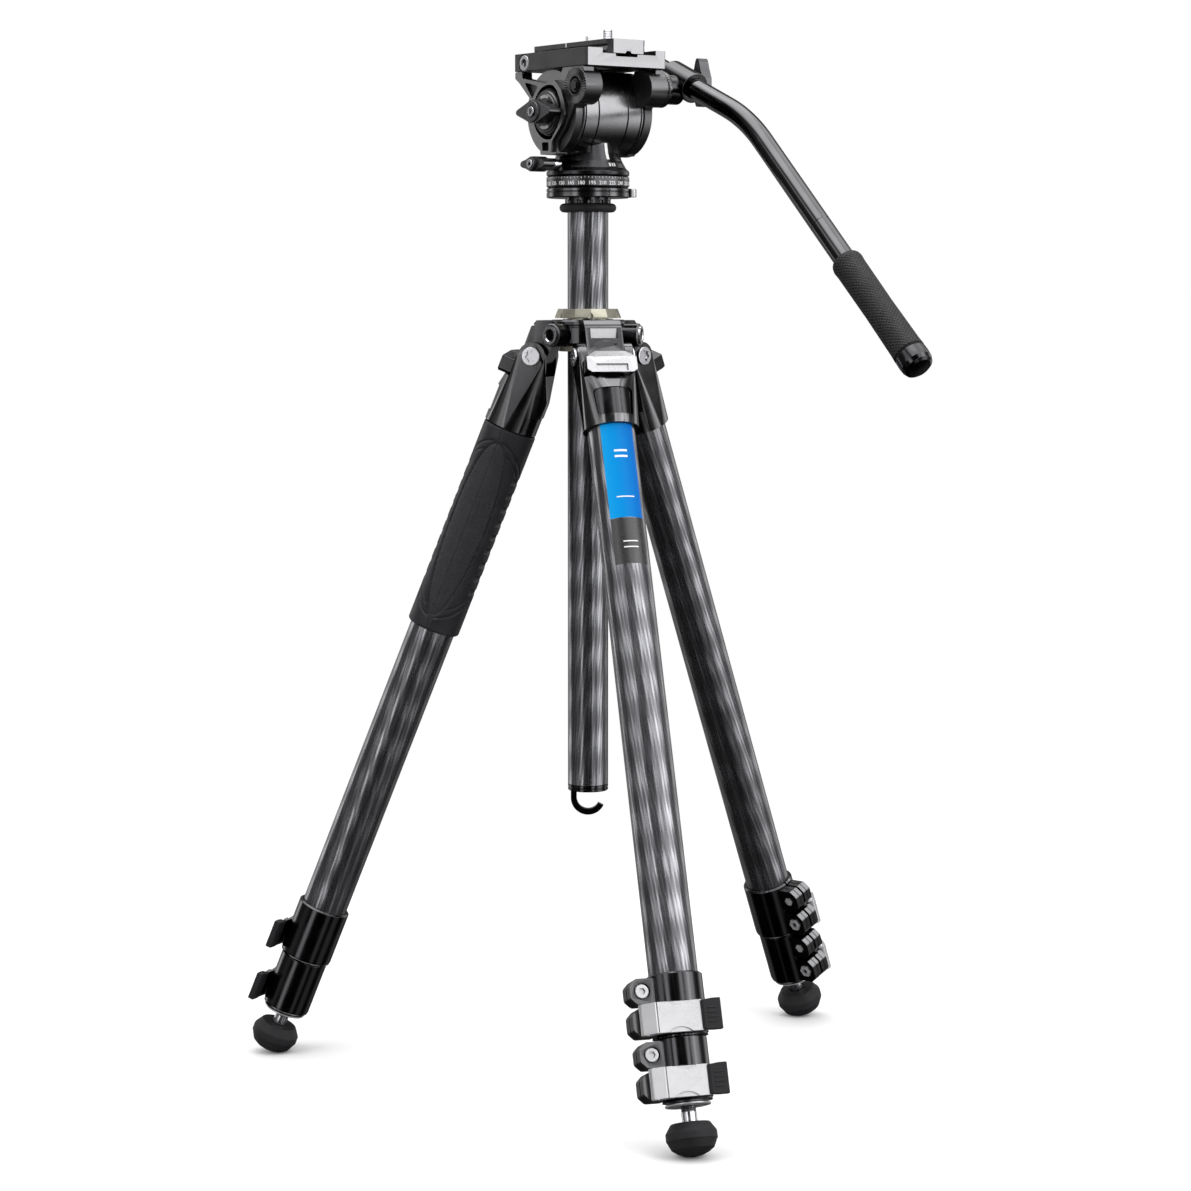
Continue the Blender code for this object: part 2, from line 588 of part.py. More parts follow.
def make_arm(name, inner, outer, cheek_outer, boss_outer, tilt):
    """A side arm: cheek disc on the tilt axis, spread ribs up to the deck, and the handle boss at the rear."""
    low = min(inner, outer)
    high = max(inner, outer)
    arm = extruded(name, arm_outline(), low, high, BLACK, tilt, turn=SIDE_VIEW)
    centre = (0, 0, TILT_HEIGHT)
    cheek_low = min(inner, cheek_outer)
    cheek_high = max(inner, cheek_outer)
    join(arm, cylinder(name + "_cheek", CHEEK_RADIUS, cheek_low, cheek_high, None, tilt, centre, ALONG_X, sides=WIDE_SIDES))
    boss_low = min(inner, boss_outer)
    boss_high = max(inner, boss_outer)
    join(arm, cylinder(name + "_boss", BOSS_RADIUS, boss_low, boss_high, None, tilt,
                       (0, BOSS_Y, BOSS_HEIGHT), ALONG_X))
    cut(arm, cylinder(name + "_shaft_hole", SHAFT_RADIUS + 0.35, low - OVER, high + OVER, None, tilt, centre,
                      ALONG_X, sides=SMALL_SIDES))
    return arm


def make_deck(tilt):
    """The platform with its plate channel, and the bore of the clamp rod across it."""
    deck = box("platform", (-DECK_HALF, DECK_REAR, DECK_BOTTOM), (DECK_HALF, DECK_FRONT, DECK_TOP), BLACK, tilt)
    cut(deck, box("deck_channel", (-20, DECK_REAR - OVER, CHANNEL_FLOOR), (24.4, DECK_FRONT + OVER, 712), None, tilt))
    cut(deck, box("deck_slot", (-9, DECK_REAR - OVER, 701.8), (9, DECK_FRONT + OVER, 706), None, tilt))
    cut(deck, cylinder("clamp_rod_hole", 2.9, -40, 40, None, tilt, (0, CLAMP_ROD_Y, CLAMP_ROD_HEIGHT), ALONG_X,
                       sides=SMALL_SIDES))


def make_tilt_section(tilt):
    make_arm("left_arm", ARM_LEFT_INNER, ARM_LEFT_OUTER, -30.5, -34.5, tilt)
    make_arm("right_arm", ARM_RIGHT_INNER, ARM_RIGHT_OUTER, 33.6, 35.0, tilt)
    make_deck(tilt)
    cylinder("tilt_shaft", SHAFT_RADIUS, -32.4, 32.4, STEEL, tilt, (0, 0, TILT_HEIGHT), ALONG_X, sides=SMALL_SIDES)
    knob_frame = empty("tilt_knob_turn", tilt, (0, 0, TILT_HEIGHT))
    lock_knob("tilt_lock_knob", knob_frame, ALONG_MINUS_X, shaft=(17.0, 33.4, 36.2), hub=(7.0, 35.0, 48.0),
              wing=(20.0, 36.6, 46.0))


def make_quick_release(tilt):
    """The sliding camera plate with its screw and pin, and the jaw that the side knob draws against it."""
    plate_frame = empty("plate_slide", tilt, (0, 0, 0))
    side = PLATE_HALF - PLATE_CORNER
    outline = [(-side, PLATE_REAR), (side, PLATE_REAR), (PLATE_HALF, PLATE_REAR + PLATE_CORNER),
               (PLATE_HALF, PLATE_FRONT - PLATE_CORNER), (side, PLATE_FRONT), (-side, PLATE_FRONT),
               (-PLATE_HALF, PLATE_FRONT - PLATE_CORNER), (-PLATE_HALF, PLATE_REAR + PLATE_CORNER)]
    plate = extruded("quick_release_plate", outline, PLATE_BOTTOM, PLATE_TOP, BLACK, plate_frame)
    join(plate, cylinder("plate_pin", 1.5, PLATE_TOP - 2, 718.5, None, plate_frame, sides=12))
    cut(plate, cylinder("plate_screw_hole", 3.6, 700, 716, None, plate_frame, (0, SCREW_Y, 0), sides=SMALL_SIDES))
    cut(plate, cylinder("plate_counterbore", 7.4, 700, 708.4, None, plate_frame, (0, SCREW_Y, 0)))
    for y in (6.0, 42.0):
        cut(plate, box(f"plate_groove_{int(y)}", (-20, y, PLATE_TOP - 0.5), (20, y + 1, PLATE_TOP + OVER), None,
                       plate_frame))
    screw_frame = empty("camera_screw_turn", plate_frame, (0, SCREW_Y, 0))
    turned("camera_screw", [(0, 721), (2.6, 721), (3.17, 720.3), (3.17, 707.9), (6.9, 707.9), (6.9, 704.6), (0, 704.6)],
           STEEL, screw_frame, sides=SMALL_SIDES)
    jaw_frame = empty("jaw_slide", tilt, (0, 0, 0))
    box("clamp_jaw", (16.4, 16, PLATE_BOTTOM), (21.8, 39, 706.8), BLACK, jaw_frame)
    knob_frame = empty("clamp_knob_turn", tilt, (0, CLAMP_ROD_Y, CLAMP_ROD_HEIGHT))
    lock_knob("clamp_knob", knob_frame, ALONG_X, shaft=(2.5, -33.0, 36.0), hub=(5.6, 34.0, 47.0),
              wing=(14.0, 36.0, 45.5))


# ---------------------------------------------------------------- handle

def handle_path():
    """The handle's middle line as (y, z): straight, a bend of constant radius, straight again."""
    slope = math.radians(HANDLE_SLOPE)
    drop = math.radians(HANDLE_DROP)
    first = Vector((-math.cos(slope), -math.sin(slope)))
    second = Vector((-math.cos(drop), -math.sin(drop)))
    start = Vector((BOSS_Y, HANDLE_HEIGHT))
    corner = start + first * HANDLE_CORNER
    tangent = HANDLE_BEND * math.tan((drop - slope) / 2)
    centre = corner - first * tangent + Vector((first.y, -first.x)) * -HANDLE_BEND
    points = [start - first * HANDLE_TAIL]
    steps = 6
    for step in range(steps + 1):
        angle = slope + (drop - slope) * step / steps
        normal = Vector((-math.sin(angle), math.cos(angle)))
        points.append(centre + normal * HANDLE_BEND)
    points.append(corner + second * (HANDLE_REACH - 16))
    return points, corner + second * HANDLE_REACH


def make_handle(tilt):
    """The bent pan handle, its toothed clamp on the right boss, the grip and the clamp's winged knob."""
    handle = empty("handle_swing", tilt, (0, BOSS_Y, BOSS_HEIGHT))
    clamp = turned("handle_clamp", [(0, 49.5), (10, 49.5), (10, 39), (BOSS_RADIUS, 38.4), (BOSS_RADIUS, 35.4), (0, 35.4)],
                   BLACK, handle, turn=ALONG_X)
    rise = HANDLE_HEIGHT - BOSS_HEIGHT
    at = (HANDLE_X, 0, rise)
    along = (math.radians(HANDLE_SLOPE - 90), 0.0, 0.0)
    join(clamp, cylinder("handle_socket", 10.6, -14, 14, None, handle, at, along))
    cut(clamp, cylinder("handle_bore", HANDLE_RADIUS + 0.4, -30, 30, None, handle, at, along))
    points, grip_end = handle_path()
    curve = bpy.data.curves.new("handle_tube", "CURVE")
    curve.dimensions = "3D"
    curve.bevel_depth = HANDLE_RADIUS * MM
    curve.bevel_resolution = 4
    curve.use_fill_caps = True
    spline = curve.splines.new("POLY")
    spline.points.add(len(points) - 1)
    for point, (y, z) in zip(spline.points, points):
        point.co = (HANDLE_X * MM, (y - BOSS_Y) * MM, (z - BOSS_HEIGHT) * MM, 1.0)
    add_object("handle_tube", curve_mesh("handle_tube", curve), BLACK, handle, (0, 0, 0), (0, 0, 0))
    hole = HANDLE_RADIUS + 0.35
    length = HAND_GRIP_LENGTH
    profile = [(0, 12), (hole, 12), (hole, length), (10.0, length), (10.6, length - 3), (10.1, length / 2),
               (10.9, 9), (10.9, 4), (9.5, 1), (7, 0), (0, 0)]
    lean = (-math.radians(90 - HANDLE_DROP), 0.0, 0.0)
    grip_at = (HANDLE_X, grip_end.x - BOSS_Y, grip_end.y - BOSS_HEIGHT)
    turned("handle_grip", profile, RUBBER, handle, grip_at, lean)
    knob_frame = empty("handle_knob_turn", handle, (0, 0, rise), (math.radians(90), 0.0, 0.0))
    lock_knob("handle_knob", knob_frame, ALONG_X, shaft=(4.0, 67.9, 69.5), hub=(5.6, 68.5, 78.0),
              wing=(16.5, 68.8, 77.0))


def main():
    column_axis = empty("column_axis", None, (AXIS_X, AXIS_Y, 0))
    for side, azimuth in LEG_AZIMUTHS.items():
        leg = make_leg(side, azimuth, column_axis)
        if side == "front":
            make_foam_grip(leg)
    make_shoulder(column_axis)
    column = empty("column_slide", column_axis, (0, 0, 0))
    make_column(column_axis, column)
    pan = empty("pan_turn", column, (0, 0, 0))
    make_pan_section(column, pan)
    tilt_axis = empty("tilt_turn", pan, (0, 0, TILT_HEIGHT))
    tilt = empty("tilt_frame", tilt_axis, (0, 0, -TILT_HEIGHT))
    make_tilt_section(tilt)
    make_quick_release(tilt)
    make_handle(tilt)


main()
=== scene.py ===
"""The looks of a carbon tripod with a fluid head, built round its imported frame.

Shapes are made in millimetres, in the frame of the joint that carries them: a leg's frame has its origin on
the pivot, +X along the pin, +Y outwards and the foot towards -Z; the head's frame stands on the column axis.
"""

import json
import math

import bmesh
import bpy
from mathutils import Matrix, Vector


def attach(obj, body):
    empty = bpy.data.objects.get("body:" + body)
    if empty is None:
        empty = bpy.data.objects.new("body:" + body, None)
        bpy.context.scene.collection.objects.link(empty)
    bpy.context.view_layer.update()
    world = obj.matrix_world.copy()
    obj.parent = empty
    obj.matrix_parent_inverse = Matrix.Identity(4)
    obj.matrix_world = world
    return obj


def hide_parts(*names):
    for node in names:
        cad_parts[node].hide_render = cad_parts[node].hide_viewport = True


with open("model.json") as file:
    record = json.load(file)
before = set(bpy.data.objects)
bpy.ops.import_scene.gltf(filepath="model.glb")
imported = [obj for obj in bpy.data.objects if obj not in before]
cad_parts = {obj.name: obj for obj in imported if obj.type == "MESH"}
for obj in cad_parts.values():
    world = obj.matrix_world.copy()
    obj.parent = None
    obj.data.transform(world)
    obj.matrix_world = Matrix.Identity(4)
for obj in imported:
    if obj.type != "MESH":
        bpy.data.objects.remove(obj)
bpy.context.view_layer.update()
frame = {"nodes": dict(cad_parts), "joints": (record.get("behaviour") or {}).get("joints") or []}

MM = 0.001
STEPS = 80
TAU = 2 * math.pi
SIDES_OF_TRIPOD = ("right", "front", "rear")


# ---------------------------------------------------------------- frames

def joint(name):
    return next(j for j in frame["joints"] if j["name"] == name)


def axes_at(origin, across, out, up):
    """The matrix whose columns are these three unit axes, with its origin in metres."""
    basis = Matrix((across, out, up)).transposed().to_4x4()
    basis.translation = origin
    return basis


def leg_basis(side):
    fold = joint(f"leg_{side}_fold")
    across = Vector(fold["axis"])
    up = -Vector(joint(f"leg_{side}_mid_extend")["axis"])
    return axes_at(Vector(fold["pos_m"]), across, up.cross(across), up)


def column_basis():
    centre = Vector(joint("pan_turn")["pos_m"])
    return Matrix.Translation((centre.x, centre.y, 0.0))


def extent(node, basis):
    """Lowest and highest corner of a CAD node in a local frame, in millimetres."""
    to_local = basis.inverted()
    points = [to_local @ v.co / MM for v in frame["nodes"][node].data.vertices]
    low = Vector([min(p[i] for p in points) for i in range(3)])
    high = Vector([max(p[i] for p in points) for i in range(3)])
    return low, high


COLUMN = column_basis()
LEGS = {side: leg_basis(side) for side in SIDES_OF_TRIPOD}
TILT = (COLUMN.inverted() @ Vector(joint("tilt_turn")["pos_m"])).z / MM
BOSS = COLUMN.inverted() @ Vector(joint("handle_swing")["pos_m"]) / MM


def on_column(at, axis=None, degrees=0.0):
    """The column's frame moved to a point in millimetres, then turned about one of its axes."""
    basis = COLUMN @ Matrix.Translation([c * MM for c in at])
    if axis:
        basis = basis @ Matrix.Rotation(math.radians(degrees), 4, axis)
    return basis


# ---------------------------------------------------------------- shapes, in millimetres

def fillet(points, radius, loop=True, steps=4):
    """A polyline with its corners rounded by up to radius."""
    rounded = []
    count = len(points)
    for index, point in enumerate(points):
        here = Vector(point)
        if not loop and index in (0, count - 1):
            rounded.append(tuple(here))
            continue
        back = Vector(points[index - 1]) - here
        ahead = Vector(points[(index + 1) % count]) - here
        angle = back.angle(ahead)
        if angle > math.radians(172):
            rounded.append(tuple(here))
            continue
        reach = min(radius / math.tan(angle / 2), 0.45 * back.length, 0.45 * ahead.length)
        start = here + back.normalized() * reach
        end = here + ahead.normalized() * reach
        for step in range(steps + 1):
            t = step / steps
            rounded.append(tuple((1 - t) ** 2 * start + 2 * t * (1 - t) * here + t * t * end))
    return rounded


def arc(radius, start, end, steps, centre=(0.0, 0.0)):
    """Points on an arc, angles in degrees."""
    turn = [math.radians(start + (end - start) * step / steps) for step in range(steps + 1)]
    return [(centre[0] + radius * math.cos(a), centre[1] + radius * math.sin(a)) for a in turn]


def join_rings(bm, upper, lower):
    """Faces between two rings of vertices; where a ring is one point repeated, they are triangles."""
    count = len(upper)
    for step in range(count):
        after = (step + 1) % count
        corners = list(dict.fromkeys([upper[step], upper[after], lower[after], lower[step]]))
        if len(corners) > 2:
            bm.faces.new(corners)


def lathe(profile, steps=STEPS, loop=False):
    """A profile of (radius, height) turned about Z."""
    bm = bmesh.new()
    rings = []
    turn = [TAU * step / steps for step in range(steps)]
    for radius, z in profile:
        if radius:
            rings.append([bm.verts.new((radius * math.cos(a), radius * math.sin(a), z)) for a in turn])
        else:
            rings.append([bm.verts.new((0, 0, z))] * steps)
    for upper, lower in zip(rings, rings[1:] + (rings[:1] if loop else [])):
        join_rings(bm, upper, lower)
    bmesh.ops.recalc_face_normals(bm, faces=bm.faces)
    return bm


def soft_lathe(profile, corner, steps=96, loop=False, bends=3):
    """A turned shape whose profile has its corners rounded first."""
    return lathe(fillet(profile, corner, loop, bends), steps, loop)


def rod(radius, low, high, edge=0.0, steps=48):
    profile = [(0, high), (radius, high), (radius, low), (0, low)]
    if edge:
        profile = fillet(profile, edge, loop=False, steps=3)
    return lathe(profile, steps)


def pipe(inner, outer, low, high, edge=0.3, steps=STEPS):
    profile = [(inner, high), (outer, high), (outer, low), (inner, low)]
    return soft_lathe(profile, edge, steps, loop=True)


def prism(outline, low, high):
    """A flat outline made thick along Z."""
    bm = bmesh.new()
    bottom = [bm.verts.new((x, y, low)) for x, y in outline]
    top = [bm.verts.new((x, y, high)) for x, y in outline]
    bm.faces.new(reversed(bottom))
    bm.faces.new(top)
    count = len(outline)
    for index in range(count):
        after = (index + 1) % count
        bm.faces.new((bottom[index], bottom[after], top[after], top[index]))
    bmesh.ops.recalc_face_normals(bm, faces=bm.faces)
    return bm


def block(low, high):
    outline = [(low[0], low[1]), (high[0], low[1]), (high[0], high[1]), (low[0], high[1])]
    return prism(outline, low[2], high[2])


def hull(circles, corners=()):
    """The tight skin over circles, each (radius, centre, axis turn), and corner points."""
    bm = bmesh.new()
    for radius, centre, turn in circles:
        bmesh.ops.create_circle(bm, segments=56, radius=radius, matrix=Matrix.Translation(centre) @ turn)
    for corner in corners:
        bm.verts.new(corner)
    made = bmesh.ops.convex_hull(bm, input=bm.verts)
    spare = {v for v in made["geom_interior"] + made["geom_unused"] if isinstance(v, bmesh.types.BMVert)}
    bmesh.ops.delete(bm, geom=list(spare), context="VERTS")
    bmesh.ops.recalc_face_normals(bm, faces=bm.faces)
    return bm


def sweep(path, radii, side, steps):
    """A round tube along a flat path of points; side is the direction square to the path's plane."""
    bm = bmesh.new()
    rings = []
    last = len(path) - 1
    turn = [TAU * step / steps for step in range(steps)]
    for index, (point, radius) in enumerate(zip(path, radii)):
        ahead = path[min(index + 1, last)] - path[max(index - 1, 0)]
        normal = ahead.normalized().cross(side)
        rings.append([bm.verts.new(point + radius * (side * math.cos(a) + normal * math.sin(a)))
                      for a in turn])
    for first, second in zip(rings, rings[1:]):
        join_rings(bm, first, second)
    bm.faces.new(rings[0])
    bm.faces.new(rings[-1])
    bmesh.ops.recalc_face_normals(bm, faces=bm.faces)
    return bm


def turned(bm, axis=None, degrees=0.0, at=(0, 0, 0)):
    """bm rotated about an axis through its own origin, then moved."""
    matrix = Matrix.Translation(at)
    if axis:
        matrix = matrix @ Matrix.Rotation(math.radians(degrees), 4, axis)
    bmesh.ops.transform(bm, matrix=matrix, verts=bm.verts)
    return bm


def along_x(bm, at=(0, 0, 0)):
    """What was built along +Z, laid along +X."""
    return turned(bm, "Y", 90, at)


def along_minus_x(bm, at=(0, 0, 0)):
    return turned(bm, "Y", -90, at)


def side_view(bm):
    """An outline's (x, y, thickness) becomes (+Y, +Z, +X)."""
    order = Matrix(((0, 0, 1, 0), (1, 0, 0, 0), (0, 1, 0, 0), (0, 0, 0, 1)))
    bmesh.ops.transform(bm, matrix=order, verts=bm.verts)
    return bm


def front_view(bm):
    """An outline's (x, y, thickness) becomes (+X, +Z, -Y)."""
    return turned(bm, "X", 90)


def around(bm, count):
    """Copies of bm spaced evenly round Z, in one bmesh."""
    ring = bmesh.new()
    spare = bpy.data.meshes.new("spare")
    bm.to_mesh(spare)
    bm.free()
    for step in range(count):
        before = len(ring.verts)
        ring.from_mesh(spare)
        ring.verts.ensure_lookup_table()
        turn = Matrix.Rotation(TAU * step / count, 4, "Z")
        bmesh.ops.transform(ring, matrix=turn, verts=ring.verts[before:])
    bpy.data.meshes.remove(spare)
    return ring


def merged(*parts):
    """Several bmeshes in one, without a Boolean."""
    whole = bmesh.new()
    for part in parts:
        spare = bpy.data.meshes.new("spare")
        part.to_mesh(spare)
        part.free()
        whole.from_mesh(spare)
        bpy.data.meshes.remove(spare)
    return whole


def helper(bm):
    mesh = bpy.data.meshes.new("helper")
    bm.to_mesh(mesh)
    bm.free()
    obj = bpy.data.objects.new("helper", mesh)
    bpy.context.scene.collection.objects.link(obj)
    return obj


def carve(base, joins=(), cuts=(), keep=(), bevel=0.0, segments=2, angle=32):
    """base with joins added, what lies outside keep and in cuts taken away, and sharp edges rounded."""
    body = helper(base)
    tools = [(helper(b), "UNION") for b in joins] + [(helper(b), "INTERSECT") for b in keep]
    tools += [(helper(b), "DIFFERENCE") for b in cuts]
    for tool, operation in tools:
        boolean = body.modifiers.new("Boolean", "BOOLEAN")
        boolean.operation = operation
        boolean.object = tool
    if bevel:
        rounding = body.modifiers.new("Bevel", "BEVEL")
        rounding.width = bevel
        rounding.segments = segments
        rounding.limit_method = "ANGLE"
        rounding.angle_limit = math.radians(angle)
        rounding.use_clamp_overlap = True
    graph = bpy.context.evaluated_depsgraph_get()
    result = bmesh.new()
    result.from_mesh(body.evaluated_get(graph).to_mesh())
    for obj in [body] + [tool for tool, _ in tools]:
        mesh = obj.data
        bpy.data.objects.remove(obj)
        bpy.data.meshes.remove(mesh)
    return result


def finish_mesh(bm, smooth=38):
    """A mesh in metres from a bmesh in millimetres, smooth across shallow edges, where the large faces
    keep their own direction and the small rounded ones bend between them."""
    bmesh.ops.remove_doubles(bm, verts=bm.verts, dist=1e-4)
    body = helper(bm)
    body.data.shade_smooth()
    body.data.set_sharp_from_angle(angle=math.radians(smooth))
    weighting = body.modifiers.new("Weighted", "WEIGHTED_NORMAL")
    weighting.keep_sharp = True
    weighting.weight = 100
    graph = bpy.context.evaluated_depsgraph_get()
    mesh = bpy.data.meshes.new_from_object(body.evaluated_get(graph), preserve_all_data_layers=True,
                                           depsgraph=graph)
    mesh.transform(Matrix.Scale(MM, 4))
    rough = body.data
    bpy.data.objects.remove(body)
    bpy.data.meshes.remove(rough)
    return mesh


def paint(mesh, index, test):
    """Gives a material slot to each face whose middle (in millimetres) and normal pass the test."""
    for face in mesh.polygons:
        if test(face.center / MM, face.normal):
            face.material_index = index
    return mesh


def piece(name, shape, materials, body, *nodes, basis=COLUMN, slot=None):
    """Places a mesh or bmesh made in a local frame and lets it ride on a CAD body, standing for these nodes.

    The slot argument is not used."""
    mesh = finish_mesh(shape) if isinstance(shape, bmesh.types.BMesh) else shape
    if not isinstance(materials, list):
        materials = [materials]
    for material in materials:
        mesh.materials.append(material)
    mesh.name = name
    obj = bpy.data.objects.new(name, mesh)
    bpy.context.scene.collection.objects.link(obj)
    obj.matrix_world = basis
    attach(obj, body)
    if nodes:
        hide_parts(*nodes)


# ---------------------------------------------------------------- materials

class Nodes:
    """A material's node tree with its Principled shader, and short calls for the nodes used here."""

    def __init__(self, name, metallic=0.0, roughness=0.5, coat=0.0, specular=0.5):
        self.material = bpy.data.materials.new(name)
        self.material.use_nodes = True
        self.tree = self.material.node_tree
        self.shader = self.tree.nodes["Principled BSDF"]
        self.set("Metallic", metallic)
        self.set("Roughness", roughness)
        self.set("Coat Weight", coat)
        self.set("Coat Roughness", 0.04)
        self.set("Specular IOR Level", specular)
        self.place = self.add("ShaderNodeTexCoord").outputs["Object"]

    def add(self, kind, **settings):
        node = self.tree.nodes.new(kind)
        for key, value in settings.items():
            setattr(node, key, value)
        return node

    def plug(self, source, socket):
        self.tree.links.new(source, socket)

    def set(self, name, value):
        self.shader.inputs[name].default_value = value

    def math(self, operation, *values, clamp=False):
        node = self.add("ShaderNodeMath", operation=operation, use_clamp=clamp)
        for socket, value in zip(node.inputs, values):
            if isinstance(value, (int, float)):
                socket.default_value = value
            else:
                self.plug(value, socket)
        return node.outputs[0]

    def xyz(self):
        """The three coordinates of the piece's own frame, in metres."""
        split = self.add("ShaderNodeSeparateXYZ")
        self.plug(self.place, split.inputs[0])
        return split.outputs

    def noise(self, size, detail=2.0, stretch=(1, 1, 1), roughness=0.5):
        """A noise whose blotches measure about size millimetres."""
        mapping = self.add("ShaderNodeMapping")
        mapping.inputs["Scale"].default_value = [1 / (size * MM * s) for s in stretch]
        self.plug(self.place, mapping.inputs["Vector"])
        node = self.add("ShaderNodeTexNoise")
        node.inputs["Scale"].default_value = 1.0
        node.inputs["Detail"].default_value = detail
        node.inputs["Roughness"].default_value = roughness
        self.plug(mapping.outputs["Vector"], node.inputs["Vector"])
        return node.outputs["Fac"]

    def remap(self, value, low, high, to_low, to_high):
        node = self.add("ShaderNodeMapRange")
        for socket, number in zip(list(node.inputs)[1:5], (low, high, to_low, to_high)):
            socket.default_value = number
        self.plug(value, node.inputs["Value"])
        return node.outputs["Result"]

    def blend(self, share, first, second):
        """Mixes two colours, each a tuple or a socket."""
        node = self.add("ShaderNodeMix", data_type="RGBA")
        for socket, value in ((node.inputs[0], share), (node.inputs[6], first), (node.inputs[7], second)):
            if isinstance(value, tuple):
                socket.default_value = (*value, 1.0)
            elif isinstance(value, (int, float)):
                socket.default_value = value
            else:
                self.plug(value, socket)
        return node.outputs[2]

    def bump(self, height, depth):
        """Depth in millimetres for a height from 0 to 1."""
        node = self.add("ShaderNodeBump")
        node.inputs["Distance"].default_value = depth * MM
        node.inputs["Strength"].default_value = 1.0
        self.plug(height, node.inputs["Height"])
        self.plug(node.outputs["Normal"], self.shader.inputs["Normal"])

    def colour(self, source):
        self.plug(source, self.shader.inputs["Base Color"])

    def roughness(self, source):
        self.plug(source, self.shader.inputs["Roughness"])

    def worn_and_highlit_edges(self, strength):
        """0 on flats, up to strength on outward edges, which are painted lighter: partly edge wear, partly a
        painted highlight along the bevels.
        """
        point = self.add("ShaderNodeNewGeometry").outputs["Pointiness"]
        return self.remap(point, 0.52, 0.60, 0.0, strength)


def carbon(name, lean):
    """Clear-coated wound carbon: narrow slanting lozenges that each tip the reflected light a little."""
    lanes_round = 19.0
    lean_per_mm = 0.014 * lean
    climb_per_mm = 0.017
    n = Nodes(name, metallic=0.95, roughness=0.3, coat=0.3)
    x, y, z = n.xyz()
    turn = n.math("DIVIDE", n.math("ARCTAN2", y, x), TAU)
    height = n.math("DIVIDE", z, MM)
    waver = n.remap(n.noise(30.0, 2.0, (1, 1, 5)), 0, 1, -0.6, 0.6)
    lanes = n.math("ADD", n.math("MULTIPLY", turn, lanes_round), n.math("MULTIPLY", height, lean_per_mm))
    lanes = n.math("ADD", lanes, waver)
    climb = n.math("MULTIPLY", height, climb_per_mm)
    first = n.math("SINE", n.math("MULTIPLY", n.math("ADD", lanes, climb), TAU))
    second = n.math("SINE", n.math("MULTIPLY", n.math("SUBTRACT", lanes, climb), TAU))
    lozenge = n.remap(n.math("MULTIPLY", first, second), -0.45, 0.45, 0.0, 1.0)
    patch = n.noise(9.0, 2.0, (1, 1, 6))
    fibre = n.noise(0.5, 3.0, (1, 1, 60), 0.7)
    tone = n.math("MULTIPLY", lozenge, n.remap(patch, 0.35, 0.65, 0.15, 0.75))
    tone = n.math("ADD", tone, n.math("MULTIPLY", n.math("SUBTRACT", fibre, 0.45), 1.1), clamp=True)
    n.colour(n.blend(tone, (0.055, 0.055, 0.060), (0.26, 0.26, 0.275)))
    n.roughness(n.remap(lozenge, 0, 1, 0.36, 0.26))
    n.bump(n.math("ADD", n.math("ADD", first, second), n.math("MULTIPLY", fibre, 0.2)), 0.035)
    return n.material


def metal(name, colour, metallic, roughness, grain=0.25, depth=0.006, edge_wear_and_highlight=0.35, pale=None, face=None):
    """Blasted and anodised aluminium: fine grain, faint blotches, and edges painted lighter, partly wear and
    partly a painted highlight along the bevels.

    face is a lighter colour painted on the faces that look along -X, a painted lit side, where it is given."""
    n = Nodes(name, metallic, roughness)
    blotch = n.noise(14.0, 3.0)
    fine = n.noise(grain, 2.0)
    dark = tuple(c * 0.92 for c in colour)
    light = tuple(min(1.0, c * 1.08) for c in colour)
    base = n.blend(n.remap(blotch, 0.3, 0.7, 0, 1), dark, light)
    # painted light: faces looking along -X take the lighter face colour, as if lit from that side
    if face:
        split = n.add("ShaderNodeSeparateXYZ")
        n.plug(n.add("ShaderNodeTexCoord").outputs["Normal"], split.inputs[0])
        base = n.blend(n.remap(split.outputs[0], -0.6, -0.95, 0, 1), base, face)
    edge = pale or tuple(min(1.0, c * 1.6 + 0.12) for c in colour)
    # edges painted lighter by pointiness: part edge wear, part a painted highlight of the bevels
    n.colour(n.blend(n.worn_and_highlit_edges(edge_wear_and_highlight), base, edge))
    n.roughness(n.math("ADD", n.remap(blotch, 0.3, 0.7, roughness - 0.04, roughness + 0.05),
                       n.remap(fine, 0.3, 0.7, -0.03, 0.03)))
    n.bump(fine, depth)
    return n.material


def turned_metal(name, colour, roughness):
    """Machined metal: fine rings about the piece's own axis."""
    n = Nodes(name, 1.0, roughness)
    rings = n.noise(0.16, 2.0, (14, 14, 1))
    blotch = n.noise(6.0, 2.0)
    n.colour(n.blend(n.remap(blotch, 0.3, 0.7, 0, 1), tuple(c * 0.86 for c in colour), colour))
    n.roughness(n.remap(rings, 0.25, 0.75, roughness * 0.75, roughness * 1.35))
    n.bump(rings, 0.012)
    return n.material


def rubber(name, colour, roughness, grain=0.5, depth=0.05):
    n = Nodes(name, 0.0, roughness, specular=0.18)
    speck = n.noise(grain, 3.0)
    dust = n.noise(11.0, 4.0)
    light = tuple(c * 1.7 for c in colour)
    n.colour(n.blend(n.remap(dust, 0.35, 0.75, 0, 0.8), colour, light))
    n.roughness(n.remap(dust, 0.3, 0.7, roughness - 0.08, roughness + 0.08))
    n.bump(speck, depth)
    return n.material


